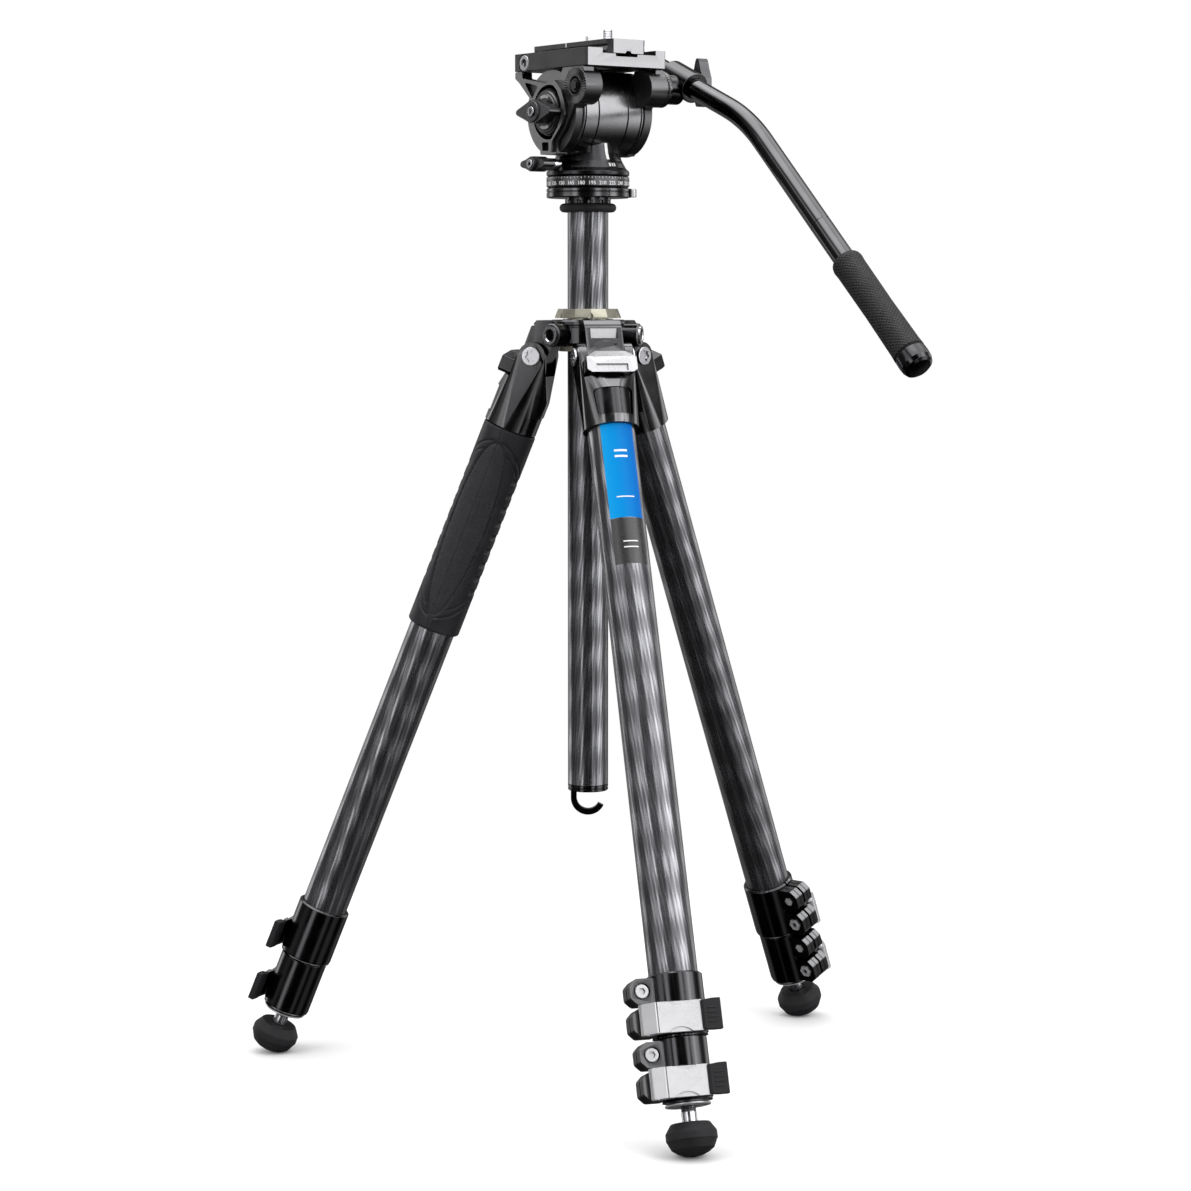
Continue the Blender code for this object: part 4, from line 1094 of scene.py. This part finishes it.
def hook():
    """The column's end cap with a curled strap hook."""
    cap = [(0, 216), (11.9, 216), (11.9, 203.5), (14.0, 203.5), (14.0, 202.2), (13.5, 201.9), (13.5, 201.4),
           (14.0, 201.1), (14.0, 200.0), (13.4, 199.4), (0, 199.4)]
    curl = arc(12.0, 180, 333, 28, (0, 194)) + arc(7.9, 333, 180, 28, (0, 194))
    strap = prism([(-12.0, 201.0)] + curl + [(-7.9, 201.0)], -2.6, 2.6)
    return carve(lathe(cap, 80), joins=[turned(turned(strap, "X", 90), "Z", -36)], bevel=0.5, segments=3)


def top_plate():
    """The plate under the head: a fluted neck, a grooved disc and the stud that the head screws on."""
    disc = [(0, 622), (4.8, 622), (4.8, 615.6), (27.6, 615.6), (28.4, 614.8), (28.4, 613.3), (27.9, 613.0),
            (27.9, 612.6), (28.4, 612.3), (28.4, 609.6), (27.6, 608.8), (15.7, 608.8), (15.7, 600.4),
            (12.0, 600.4), (12.0, 582), (0, 582)]
    flutes = around(turned(rod(2.2, 599, 607.6, edge=1.0, steps=24), at=(16.7, 0, 0)), 12)
    lug = turned(block((22, -3.5, 609.2), (29.4, 3.5, 615.2)), "Z", -36)
    return carve(lathe(disc, 96), joins=[lug], cuts=[flutes], bevel=0.3)


def bumper_ring():
    """A soft round ring with a flat bore, so that it sits on the plate's neck."""
    turns = [TAU * step / 28 for step in range(28)]
    points = [(16.6 + 2.9 * math.cos(turn), 602.2 + 3.0 * math.sin(turn)) for turn in turns]
    return lathe([(max(16.1, radius), z) for radius, z in reversed(points)], 96, loop=True)


def make_column():
    piece("column_lock_ring", collar_mesh(), CHAMPAGNE, "lock_collar", "column_lock_collar")
    piece("column_shaft", column_tube(), CARBON_COLUMN, "column", "column_tube")
    piece("column_end_hook", hook(), GLOSS, "column", "column_hook")
    piece("column_plate", top_plate(), GLOSS, "column", "column_top_plate", slot="black_anodised")
    lug = turned(rod(3.5, 609.4, 615.0, edge=0.8, steps=48), at=(29.9, 0, 0))
    piece("column_plate_lug", turned(lug, "Z", -36), SILVER, "column")
    piece("column_bumper_ring", bumper_ring(), RUBBER, "column", "column_bumper")


# ---------------------------------------------------------------- fluid head

AT_TILT = (0, 0, TILT)
AT_BOSS = (0, BOSS.y, BOSS.z)
DIAL_RADIUS = 28.42
PAN_KNOB_HEIGHT = 631.0
CLAMP_KNOB_AT = (0, 31.5, 698.6)
DECK_BOLT_AT = (0, 28.5, 700.6)
CAMERA_SCREW_Y = -23
ARM_OUTLINE = [(39.5, 694.9), (31.0, 694.9), (31.0, 690.4), (3.0, 685.4), (-9.0, 688.4), (-15.0, 691.2),
               (-17.0, 694.9), (-41.0, 694.9), (-41.0, 689.0), (-38.0, 680.0), (-31.0, 671.5), (-26.0, 663.5),
               (-20.5, 655.0), (-11.5, 646.5), (-9.4, 637.7), (9.6, 637.7), (10.6, 648.2), (18.0, 656.0),
               (20.3, 666.0), (20.7, 675.0), (34.5, 687.2), (39.5, 690.5)]
FRONT_TRIANGLE = [(28.6, 687.6), (11.8, 684.2), (19.2, 676.0)]
LONG_GROOVE = [(-8.2, 684.9), (-14.5, 679.4), (-18.6, 671.5), (-18.9, 664), (-15.2, 655.7), (-8.6, 649.0),
               (-4.9, 644.6), (-3.7, 639.0), (-7.0, 639.0), (-8.2, 645.9), (-12.2, 650.0), (-18.6, 656.2),
               (-22.6, 663.3), (-23.0, 670.6), (-18.6, 680.4), (-11.0, 687.0)]
BOTTOM_SLOT = [(7.6, 646.0), (0.2, 646.0), (-0.4, 640.0), (7.2, 640.4)]


def dial_text(text, height, size, turn):
    """Numbers cut from the built-in font, wrapped onto the dial and standing slightly proud."""
    curve = bpy.data.curves.new("dial_text", "FONT")
    curve.body = text
    curve.size = size
    curve.align_x = "CENTER"
    curve.extrude = 0.12
    curve.resolution_u = 3
    obj = bpy.data.objects.new("dial_text", curve)
    bpy.context.scene.collection.objects.link(obj)
    bm = bmesh.new()
    bm.from_mesh(obj.evaluated_get(bpy.context.evaluated_depsgraph_get()).to_mesh())
    bpy.data.objects.remove(obj)
    bpy.data.curves.remove(curve)
    for vert in bm.verts:
        angle = turn + vert.co.x / DIAL_RADIUS
        out = DIAL_RADIUS + vert.co.z
        vert.co = (out * math.cos(angle), out * math.sin(angle), height + vert.co.y)
    return bm


def dial_mesh():
    """The degree scale on the head's base: a long tick and a number each 15 degrees, short ticks between."""
    parts = []
    for step in range(72):
        turn = TAU * step / 72
        numbered = step % 3 == 0
        low = 621.4 if numbered else 621.9
        tick = block((DIAL_RADIUS - 0.2, -0.13, low), (DIAL_RADIUS + 0.06, 0.13, 622.6))
        parts.append(turned(tick, "Z", math.degrees(turn)))
        if numbered:
            parts.append(dial_text(str((step * 5 + 315) % 360), 617.3, 3.5, turn))
    return finish_mesh(merged(*parts), smooth=20)


def pan_body_mesh():
    """The panning body: flared foot, conical neck and the big grooved drum across it; the foot and neck take
    a darker black, a painted shadow of the drum.
    """
    neck = [(0, 657), (20.2, 657), (20.2, 645), (21.4, 639), (23.4, 633.6), (26.0, 629.0), (27.6, 627.4),
            (28.4, 626.6), (28.4, 624.3), (27.7, 623.6), (8.4, 623.6), (8.4, 635.2), (0, 635.2)]
    radius = 29.0
    left = -24.2
    right = 26.5
    profile = [(6.4, right), (radius - 0.9, right), (radius, right - 0.9)]
    for middle in (24.2, 13.0, -11.3, -22.2):
        profile += [(radius, middle + 0.55), (radius - 1.0, middle + 0.45), (radius - 1.0, middle - 0.45),
                    (radius, middle - 0.55)]
    profile += [(radius, left + 0.9), (radius - 0.9, left), (6.4, left)]
    drum = along_x(soft_lathe(profile, 0.16, 128, loop=True, bends=2), AT_TILT)
    pan_hole = along_minus_x(rod(3.9, 10.4, 34), (0, 0, PAN_KNOB_HEIGHT))
    mesh = finish_mesh(carve(soft_lathe(neck, 1.2), joins=[drum], cuts=[pan_hole], bevel=0.2))
    # faces off the drum take the darker black: the drum's painted shadow
    return paint(mesh, 1, lambda middle, normal: math.hypot(middle.y, middle.z - TILT) > radius + 0.3)


def neck_marks():
    """The pale index bar and three short strokes on the rear of the neck, lying on its slope."""
    bar = [(-18.0, 645.4), (-20.5, 645.4), (-21.75, 639.0), (-23.5, 634.4), (-20.0, 634.4)]
    stroke = [(-22.0, 632.0), (-24.65, 632.0), (-26.0, 629.8), (-22.0, 629.8)]
    strokes = [prism(stroke, low, high) for low, high in ((-0.4, 0.8), (1.9, 2.7), (3.7, 4.5))]
    return side_view(merged(prism(bar, -1.1, 1.1), *strokes))


def arm(near, far, panel_floors, joins, cuts):
    """An arm's plate from near to far (x); panel_floors is (triangle floor, groove floor, outside)."""
    plate = side_view(prism(fillet(ARM_OUTLINE, 1.2, steps=3), near, far))
    triangle_floor, groove_floor, outside = panel_floors
    sunk = []
    for outline, corner, floor in ((FRONT_TRIANGLE, 1.0, triangle_floor), (LONG_GROOVE, 0.7, groove_floor),
                                   (BOTTOM_SLOT, 0.8, groove_floor)):
        sunk.append(side_view(prism(fillet(outline, corner), *sorted((floor, outside)))))
    return carve(plate, joins=joins, cuts=sunk + cuts, bevel=0.35)


def left_arm():
    """The left arm: a cheek disc with raised ribs, sunk panels and a boss for the spare handle mount."""
    rib = [(15.4, 33.0), (18.7, 33.0), (18.7, 26), (15.4, 26)]
    joins = [along_minus_x(rod(28.8, 24.8, 30.5, edge=0.5, steps=128), AT_TILT),
             along_minus_x(soft_lathe(rib, 0.3, loop=True, bends=4), AT_TILT),
             along_minus_x(rod(12.5, 20.2, 34.0, edge=0.5, steps=96), AT_BOSS)]
    cuts = [along_minus_x(rod(6.35, 20, 40), AT_TILT), along_minus_x(rod(15.6, 31.2, 40, steps=96), AT_TILT),
            along_x(rod(29.3, -20.1, 27, steps=96), AT_TILT)]
    return arm(-33.0, -24.8, (-29.6, -28.6, -36), joins, cuts)


def right_arm():
    """The right arm, plainer, under the handle."""
    joins = [along_x(rod(28.8, 27.1, 33.6, edge=0.5, steps=128), AT_TILT),
             along_x(rod(12.5, 20.6, 35.0, edge=0.5, steps=96), AT_BOSS),
             along_x(rod(13.0, 27.1, 34.4, edge=0.8, steps=96), AT_TILT)]
    cuts = [along_x(rod(6.35, 20, 40), AT_TILT), along_x(rod(29.3, -27, 26.8, steps=96), AT_TILT)]
    return arm(27.1, 33.0, (30.6, 30.6, 36), joins, cuts)


def rosette_mesh():
    """The toothed face on the left boss, with a pale ring and a hexagon socket."""
    shape = carve(rosette(0.55, 33.5, 34.5), cuts=[prism(hexagon(3.6), 33.0, 36)])
    ring = [(4.4, 34.5), (6.6, 34.5), (6.9, 34.0), (6.9, 33.6), (4.4, 33.6)]
    return finish_mesh(merged(shape, soft_lathe(ring, 0.15, 64, loop=True, bends=2)), smooth=25)


def cut_corners(low, high, corner, bottom, top):
    """A box standing over a rectangle whose upright corners are cut off at 45 degrees."""
    outline = [(low.x + corner, low.y), (high.x - corner, low.y), (high.x, low.y + corner),
               (high.x, high.y - corner), (high.x - corner, high.y), (low.x + corner, high.y),
               (low.x, high.y - corner), (low.x, low.y + corner)]
    return prism(outline, bottom, top)


def platform_mesh():
    """The platform: side walls, stepped channel and a bore across it for the clamp's rod."""
    low, high = extent("platform", COLUMN)
    outline = fillet([(low.x, low.z), (high.x, low.z), (high.x, high.z), (24.4, high.z), (24.4, 703.6),
                      (9.0, 703.6), (9.0, 701.8), (-9.0, 701.8), (-9.0, 703.6), (-20, 703.6), (-20, high.z),
                      (low.x, high.z)], 0.35)
    cuts = [along_x(rod(2.9, -40, 40), CLAMP_KNOB_AT),
            along_minus_x(rod(5.9, 32.4, 40, steps=64), DECK_BOLT_AT)]
    cuts += [block((-14, y, 690), (14, y + 13, 699.0)) for y in (-28, -8, 12)]
    deck = front_view(prism(outline, -high.y, -low.y))
    mesh = finish_mesh(carve(deck, keep=[cut_corners(low, high, 1.5, 690, 712)], cuts=cuts, bevel=0.4))
    # the rear face takes the lighter grey: a painted lit face
    return paint(mesh, 1, lambda middle, normal: middle.y < low.y + 0.2)


def plate_mesh():
    """The sliding camera plate: waisted sides, cut corners, two cross lines, a pin, the screw's recess."""
    low, high = extent("quick_release_plate", COLUMN)
    top = 713.3
    bottom = low.z
    right = [(16, top), (16, top - 3.2), (15.0, top - 4.6), (16, bottom + 2.0), (16, bottom), (2.6, bottom),
             (1.4, bottom + 1.6)]
    outline = [(-16, top)] + right + [(-x, z) for x, z in reversed(right[1:])]
    cuts = [turned(rod(3.6, 700, 716), at=(0, CAMERA_SCREW_Y, 0)),
            turned(rod(7.4, 700, 708.4, steps=64), at=(0, CAMERA_SCREW_Y, 0)),
            block((-1.7, -40, top - 0.9), (1.7, -30, top + 1))]
    cuts += [block((-20, y, top - 0.45), (20, y + 0.7, top + 1)) for y in (-45.0, 42.6)]
    pin = rod(1.5, top - 2, 718.5, edge=0.5, steps=32)
    body = front_view(prism(fillet(outline, 0.3), -high.y, -low.y))
    corners = cut_corners(low, high, 3.6, 700, 722)
    mesh = finish_mesh(carve(body, joins=[pin], keep=[corners], cuts=cuts, bevel=0.3))
    # the rear end face takes the lighter grey: a painted lit face
    paint(mesh, 1, lambda middle, normal: middle.y < low.y + 0.1)
    return paint(mesh, 2, lambda middle, normal: middle.z > top + 0.2)


def plate_pads():
    """Rubber strips let into the plate's top, in two rows."""
    parts = []
    for x in (-13.6, 4.6):
        for y in (-14.0, 8.0, 26.0):
            outline = [(x, y), (x + 9, y), (x + 9, y + 13), (x, y + 13)]
            parts.append(prism(fillet(outline, 1.6), 713.0, 713.34))
    return merged(*parts)


def camera_screw():
    """The quarter-inch camera screw with its thread and flat head."""
    profile = thread(720.4, 709.6, 1.27, (3.17, 2.75))[0]
    head = [(2.9, 709.0), (2.9, 707.9), (6.6, 707.9), (6.9, 707.6), (6.9, 705.0), (6.6, 704.6), (0, 704.6)]
    return lathe([(0, 721), (2.5, 721)] + profile + head, 56)


def make_pan_section():
    base = [(0, 634.5), (8, 634.5), (8, 623.2), (27.8, 623.2), (28.4, 622.8), (28.4, 616.8), (27.6, 616.0),
            (5.3, 616.0), (5.3, 622.5), (0, 622.5)]
    piece("head_base_ring", soft_lathe(base, 0.2, 128, bends=2), SATIN, "column", "head_base")
    piece("head_dial_marks", dial_mesh(), WHITE_INK, "column", slot="black_anodised")
    piece("head_pan_body", pan_body_mesh(), [DRUM, NECK_PAINTED_SHADE], "pan", "pan_body")
    piece("head_neck_marks", neck_marks(), WHITE_INK, "pan")
    knob_at = on_column((0, 0, PAN_KNOB_HEIGHT), "Y", -90)
    make_knob("pan_knob", "pan_knob", "pan_lock_knob", knob_at, (4.6, 36.5, 48.6), (14.0, 37.0, 46.6),
              (3.0, 46.5, 49.0, 1.5))
    shaft = lathe([(0, 11), (3.5, 11), (3.5, 27), (4.2, 28.5), (4.2, 36.6), (0, 36.6)], 48)
    piece("pan_knob_shaft", shaft, STEEL, "pan_knob", basis=knob_at)


def knob_glint_crescents():
    """Two pale crescents on the tilt knob's disc, above and below the wings: a painted reflection of the
    disc's hollow face.
    """
    parts = []
    for middle in (0, 180):
        outline = arc(11.4, middle - 27, middle + 27, 16) + arc(9.5, middle + 22, middle - 22, 16)
        parts.append(prism(outline, 36.2, 36.5))
    return merged(*parts)


def make_tilt_section():
    piece("head_left_arm", left_arm(), GREY, "tilt", "left_arm")
    piece("head_right_arm", right_arm(), GREY, "tilt", "right_arm")
    piece("head_left_rosette", rosette_mesh(), GREY, "tilt", basis=on_column(AT_BOSS, "Y", -90))
    piece("head_platform", platform_mesh(), [SATIN, PAINTED_LIT_GREY], "tilt", "platform")
    bolt = soft_lathe([(3.0, 33.5), (5.0, 33.5), (5.5, 33.0), (5.5, 31.6), (3.0, 31.6)], 0.2, 64, True, 2)
    piece("head_deck_bolt", along_minus_x(bolt, DECK_BOLT_AT), SILVER, "tilt")
    piece("head_tilt_shaft", along_x(rod(6.0, -32.4, 32.4, edge=0.4), AT_TILT), STEEL, "tilt", "tilt_shaft")
    knob_at = on_column(AT_TILT, "Y", -90)
    make_knob("tilt_knob", "tilt_knob", "tilt_lock_knob", knob_at, (7.0, 36.2, 47.0), (20.0, 37.0, 46.0),
              (3.4, 45.6, 48.0, 1.8))
    disc = [(0, 36.4), (11.6, 36.4), (12.4, 35.6), (13.4, 35.6), (14.2, 34.6), (15.0, 34.6), (15.2, 33.4),
            (0, 33.4)]
    piece("tilt_knob_disc", soft_lathe(disc, 0.25, bends=2), GREY, "tilt_knob", basis=knob_at)
    # the silver crescents stand for the disc's reflection: a painted reflection
    piece("tilt_knob_painted_glints", knob_glint_crescents(), SILVER, "tilt_knob", basis=knob_at)


def make_quick_release():
    piece("camera_plate", plate_mesh(), [SATIN, PAINTED_LIT_GREY, STEEL], "plate", "quick_release_plate")
    piece("camera_plate_pads", plate_pads(), RUBBER, "plate")
    tick = merged(block((-16.12, 2.6, 710.4), (-15.9, 3.6, 713.2)),
                  block((-16.05, 2.6, 713.1), (-12.0, 3.6, 713.36)))
    piece("camera_plate_tick", tick, WHITE_INK, "plate", slot="silver_anodised")
    piece("camera_mount_screw", camera_screw(), STEEL, "camera_screw", "camera_screw",
          basis=on_column((0, CAMERA_SCREW_Y, 0)))
    low, high = extent("clamp_jaw", COLUMN)
    outline = fillet([(low.x, low.z), (high.x, low.z), (high.x, high.z), (low.x + 1.2, high.z),
                      (low.x, low.z + 1.4)], 0.3)
    piece("plate_clamp_jaw", front_view(prism(outline, -high.y, -low.y)), SATIN, "jaw", "clamp_jaw")
    knob_at = on_column(CLAMP_KNOB_AT, "Y", 90)
    make_knob("plate_knob", "clamp_knob", "clamp_knob", knob_at, (5.6, 34.2, 46.4), (14.0, 36.0, 45.4),
              (2.8, 44.8, 47.0, 1.4))
    piece("plate_knob_rod", rod(2.5, -33.0, 36.0, edge=0.3), STEEL, "clamp_knob", basis=knob_at)


# ---------------------------------------------------------------- handle

HANDLE_SLOPE = 22.0
HANDLE_DROP = 43.2
HANDLE_CORNER = 76.0
HANDLE_BEND = 120.0
HANDLE_REACH = 238.5
HANDLE_TAIL = 40.0
HANDLE_SEAM = HANDLE_REACH + HANDLE_CORNER - 181.0
HANDLE_HEIGHT = (COLUMN.inverted() @ Vector(joint("handle_knob_turn")["pos_m"])).z / MM
TUBE_RADIUS = 7.2
GRIP_LENGTH = 99.5


def handle_line():
    """Points (y, z) down the handle's middle line, then the direction and the end of its lower part."""
    slope = math.radians(HANDLE_SLOPE)
    drop = math.radians(HANDLE_DROP)
    first = Vector((-math.cos(slope), -math.sin(slope)))
    second = Vector((-math.cos(drop), -math.sin(drop)))
    start = Vector((BOSS.y, HANDLE_HEIGHT))
    corner = start + first * HANDLE_CORNER
    tangent = HANDLE_BEND * math.tan((drop - slope) / 2)
    centre = corner - first * tangent + Vector((first.y, -first.x)) * -HANDLE_BEND
    points = [start - first * HANDLE_TAIL, start]
    for step in range(25):
        angle = slope + (drop - slope) * step / 24
        points.append(centre + HANDLE_BEND * Vector((-math.sin(angle), math.cos(angle))))
    return points, second, corner + second * HANDLE_REACH


def make_handle():
    """The bent tube, with a fine ring cut round it where its two parts meet, then the grip and the clamp."""
    low, high = extent("handle_tube", COLUMN)
    x = (low.x + high.x) / 2
    points, direction, end = handle_line()
    first = (points[1] - points[0]).normalized()
    path = [points[0], points[0] + first * 0.5, points[0] + first * 1.2] + points[1:]
    radii = [TUBE_RADIUS - 1.0, TUBE_RADIUS - 0.3] + [TUBE_RADIUS] * (len(path) - 2)
    groove = TUBE_RADIUS - 0.25
    for offset, radius in ((0.6, TUBE_RADIUS), (0.3, groove), (-0.3, groove), (-0.6, TUBE_RADIUS)):
        path.append(end - direction * (HANDLE_SEAM + offset))
        radii.append(radius)
    path.append(end - direction * 16)
    radii.append(TUBE_RADIUS)
    tube = sweep([Vector((x, p.x, p.y)) for p in path], radii, Vector((1, 0, 0)), 64)
    piece("pan_handle_tube", tube, LACQUER, "handle", "handle_tube")
    make_handle_grip(x, end)
    make_handle_clamp(x)


def make_handle_grip(x, end):
    """The moulded hand grip with a glossy rounded end cap; its own Z runs up the handle from the end."""
    basis = on_column((x, end.x, end.y), "X", HANDLE_DROP - 90)
    length = GRIP_LENGTH
    grip = [(7.55, length - 0.4), (9.4, length), (10.1, length - 1.2), (10.6, length - 3.4),
            (10.3, length - 8), (10.05, length * 0.55), (10.5, 20), (10.85, 14.4), (10.2, 13.9), (10.2, 13.2),
            (7.55, 13.2)]
    piece("hand_grip_sleeve", soft_lathe(grip, 0.5, loop=True), GRIP, "handle", "handle_grip", basis=basis)
    cap = [(7.55, 12.9), (10.2, 12.9), (10.8, 12.2), (10.9, 8.0), (10.6, 4.4), (9.6, 1.8), (7.6, 0.4),
           (4.0, 0.0), (0, 0.0), (0, 11.8), (7.55, 11.8)]
    piece("hand_grip_cap", soft_lathe(cap, 0.4), GLOSS, "handle", basis=basis)


def make_handle_clamp(x):
    """The clamp that holds the handle on the right boss: toothed face, body, split socket, winged knob."""
    rise = HANDLE_HEIGHT - BOSS.z
    end = x - 5.5
    profile = [(0, end), (10, end), (10, 40), (11.2, 39.2), (12.5, 38.6), (12.5, 37.0), (0, 37.0)]

    def on_tube(shape):
        return turned(shape, "X", HANDLE_SLOPE - 90, (x, 0, rise))

    socket = on_tube(rod(10.6, -14, 14, edge=0.9, steps=96))
    cuts = [on_tube(rod(7.5, -30, 30, steps=80)), on_tube(block((0, -0.6, -30), (30, 0.6, 30)))]
    shape = carve(along_x(soft_lathe(profile, 0.4)), joins=[socket], cuts=cuts, bevel=0.4, segments=3)
    at = on_column(AT_BOSS)
    piece("handle_clamp_body", shape, GLOSS, "handle", "handle_clamp", basis=at)
    teeth = finish_mesh(rosette(0.5, -37.2, -35.5), smooth=25)
    piece("handle_clamp_teeth", teeth, GREY, "handle", basis=at @ ACROSS @ Matrix.Rotation(math.pi, 4, "X"))
    knob_at = on_column((0, BOSS.y, HANDLE_HEIGHT), "Y", 90)
    knob = lock_knob((5.6, x + 11.6, x + 20.8), (16.5, x + 11.9, x + 20.0))
    piece("handle_knob_body", turned(knob, "Z", 90), SATIN, "handle_knob", "handle_knob", basis=knob_at)
    piece("handle_knob_stem", rod(4.0, x + 10.9, x + 12.5), STEEL, "handle_knob", basis=knob_at)


# ---------------------------------------------------------------- floor, light and camera

def make_stage():
    """A pale floor that fades into the white room; reflections look through it at the studio's lower half."""
    bpy.ops.mesh.primitive_plane_add(size=60)
    floor = bpy.context.object
    floor.name = "floor"
    n = Nodes("pale_floor", 0.0, 0.8, specular=0.1)
    mottled = n.noise(400.0, 3.0)
    n.colour(n.blend(n.remap(mottled, 0.3, 0.7, 0, 1), (0.93, 0.93, 0.935), (0.96, 0.96, 0.96)))
    n.bump(n.noise(6.0, 2.0), 0.02)
    distance = n.add("ShaderNodeVectorMath", operation="LENGTH")
    n.plug(n.place, distance.inputs[0])
    white = n.add("ShaderNodeEmission")
    unseen = n.add("ShaderNodeBsdfTransparent")
    fade = n.add("ShaderNodeMixShader")
    n.plug(n.remap(distance.outputs["Value"], 0.35, 1.1, 0.0, 1.0), fade.inputs[0])
    n.plug(n.shader.outputs[0], fade.inputs[1])
    n.plug(white.outputs[0], fade.inputs[2])
    glossy = n.add("ShaderNodeMixShader")
    n.plug(n.add("ShaderNodeLightPath").outputs["Is Glossy Ray"], glossy.inputs[0])
    n.plug(fade.outputs[0], glossy.inputs[1])
    n.plug(unseen.outputs[0], glossy.inputs[2])
    n.plug(glossy.outputs[0], n.tree.nodes["Material Output"].inputs["Surface"])
    floor.data.materials.append(n.material)


def area_light(name, at, aim, size, power):
    light = bpy.data.lights.new(name, "AREA")
    light.shape = "RECTANGLE"
    light.size, light.size_y = size
    light.energy = power
    obj = bpy.data.objects.new(name, light)
    bpy.context.scene.collection.objects.link(obj)
    obj.location = at
    obj.rotation_euler = (Vector(aim) - Vector(at)).to_track_quat("-Z", "Y").to_euler()


VIEW_AZIMUTH = -36.0
VIEW_DISTANCE = 2.129
VIEW_HEIGHT = 0.540
VIEW_DOWN = 5.49
VIEW_LENS = 93.2
VIEW_SIDE = 0.0052


def around_column(right, back, height):
    """A point given as seen by the camera: metres to its right, towards it, and up from the floor."""
    turn = Matrix.Rotation(math.radians(VIEW_AZIMUTH), 4, "Z")
    return COLUMN @ turn @ Vector((right, -back, height))


def make_camera():
    data = bpy.data.cameras.new("camera")
    data.lens = VIEW_LENS
    data.sensor_width = 36
    data.clip_start = 0.05
    data.clip_end = 100
    camera = bpy.data.objects.new("camera", data)
    bpy.context.scene.collection.objects.link(camera)
    camera.location = around_column(VIEW_SIDE, VIEW_DISTANCE, VIEW_HEIGHT)
    camera.rotation_euler = (math.radians(90 - VIEW_DOWN), 0, math.radians(VIEW_AZIMUTH))
    bpy.context.scene.camera = camera


STUDIO_BANDS = [
    # degrees round the object from the camera's side, to the right; how bright that side of the room is
    (-180, 0.15), (-150, 0.5), (-136, 0.5), (-130, 2.6), (-119, 2.6), (-113, 0.15), (-92, 0.12), (-80, 0.3),
    (-64, 0.3), (-56, 0.05), (-46, 0.06), (-42, 3.6), (-32, 3.6), (-27, 0.04), (10, 0.03), (19, 0.08),
    (23, 4.0), (33, 4.0), (39, 0.15), (54, 0.2), (62, 4.4), (82, 4.4), (92, 0.4), (112, 0.1), (126, 1.6),
    (140, 1.6), (150, 0.2), (180, 0.15),
]
STUDIO_RISE = [
    # sine of the angle above the floor; how much of that brightness is left there
    (-1.0, 0.02), (-0.80, 0.03), (-0.55, 0.12), (-0.26, 0.6), (0.0, 1.0), (0.70, 1.0), (0.84, 0.12),
    (1.0, 0.06),
]
STUDIO_CROWN = [(-1.0, 0.0), (0.70, 0.0), (0.80, 4.0), (1.0, 4.0)]


def brightness_ramp(tree, stops, low, high, brightest):
    """A grey ramp through (place, brightness) stops; places from low to high, brightness up to brightest."""
    ramp = tree.nodes.new("ShaderNodeValToRGB")
    elements = ramp.color_ramp.elements
    elements.remove(elements[1])
    for index, (place, value) in enumerate(stops):
        element = elements[0] if index == 0 else elements.new(1.0)
        element.position = (place - low) / (high - low)
        element.color = (value / brightest, value / brightest, value / brightest, 1)
    return ramp


def make_world():
    """A white room for the camera and plain surfaces; reflections see a studio with upright light bands."""
    world = bpy.data.worlds.new("studio")
    bpy.context.scene.world = world
    world.use_nodes = True
    tree = world.node_tree
    links = tree.links

    def math_node(operation, *values):
        node = tree.nodes.new("ShaderNodeMath")
        node.operation = operation
        for socket, value in zip(node.inputs, values):
            if isinstance(value, (int, float)):
                socket.default_value = value
            else:
                links.new(value, socket)
        return node.outputs[0]

    def ramp(source, stops, low, high, brightest):
        node = brightness_ramp(tree, stops, low, high, brightest)
        links.new(source, node.inputs[0])
        return node.outputs[0]

    room = tree.nodes["Background"]
    room.inputs["Color"].default_value = (1.0, 1.0, 1.0, 1)
    place = tree.nodes.new("ShaderNodeTexCoord")
    turn = tree.nodes.new("ShaderNodeMapping")
    turn.inputs["Rotation"].default_value[2] = -math.radians(VIEW_AZIMUTH)
    split = tree.nodes.new("ShaderNodeSeparateXYZ")
    links.new(place.outputs["Generated"], turn.inputs["Vector"])
    links.new(turn.outputs["Vector"], split.inputs[0])
    right, ahead, up = split.outputs
    angle = math_node("ARCTAN2", right, math_node("MULTIPLY", ahead, -1.0))
    brightest = max(value for _, value in STUDIO_BANDS)
    bands = ramp(math_node("MULTIPLY_ADD", angle, 1 / TAU, 0.5), STUDIO_BANDS, -180, 180, brightest)
    height = math_node("MULTIPLY_ADD", up, 0.5, 0.5)
    rise = ramp(height, STUDIO_RISE, -1, 1, 1.0)
    crown = ramp(height, STUDIO_CROWN, -1, 1, brightest)
    level = math_node("ADD", math_node("MULTIPLY", bands, rise), crown)
    studio = tree.nodes.new("ShaderNodeBackground")
    studio.inputs["Color"].default_value = (1.0, 1.0, 1.0, 1)
    links.new(math_node("MULTIPLY", level, brightest), studio.inputs["Strength"])
    path = tree.nodes.new("ShaderNodeLightPath")
    mix = tree.nodes.new("ShaderNodeMixShader")
    links.new(path.outputs["Is Glossy Ray"], mix.inputs[0])
    links.new(room.outputs[0], mix.inputs[1])
    links.new(studio.outputs[0], mix.inputs[2])
    links.new(mix.outputs[0], tree.nodes["World Output"].inputs["Surface"])


def make_lights():
    centre = around_column(0, 0, 0.4)
    area_light("key_box", around_column(1.6, 1.2, 1.5), centre, (0.9, 1.6), 16)
    area_light("fill_box", around_column(-1.7, 1.0, 1.2), centre, (0.9, 1.6), 8)
    area_light("top_box", around_column(-0.2, 0.0, 2.3), centre, (1.6, 1.2), 14)


# ---------------------------------------------------------------- everything

bpy.context.scene.view_settings.view_transform = "Standard"
make_legs()
make_shoulder()
make_column()
make_pan_section()
make_tilt_section()
make_quick_release()
make_handle()
make_stage()
make_world()
make_lights()
make_camera()
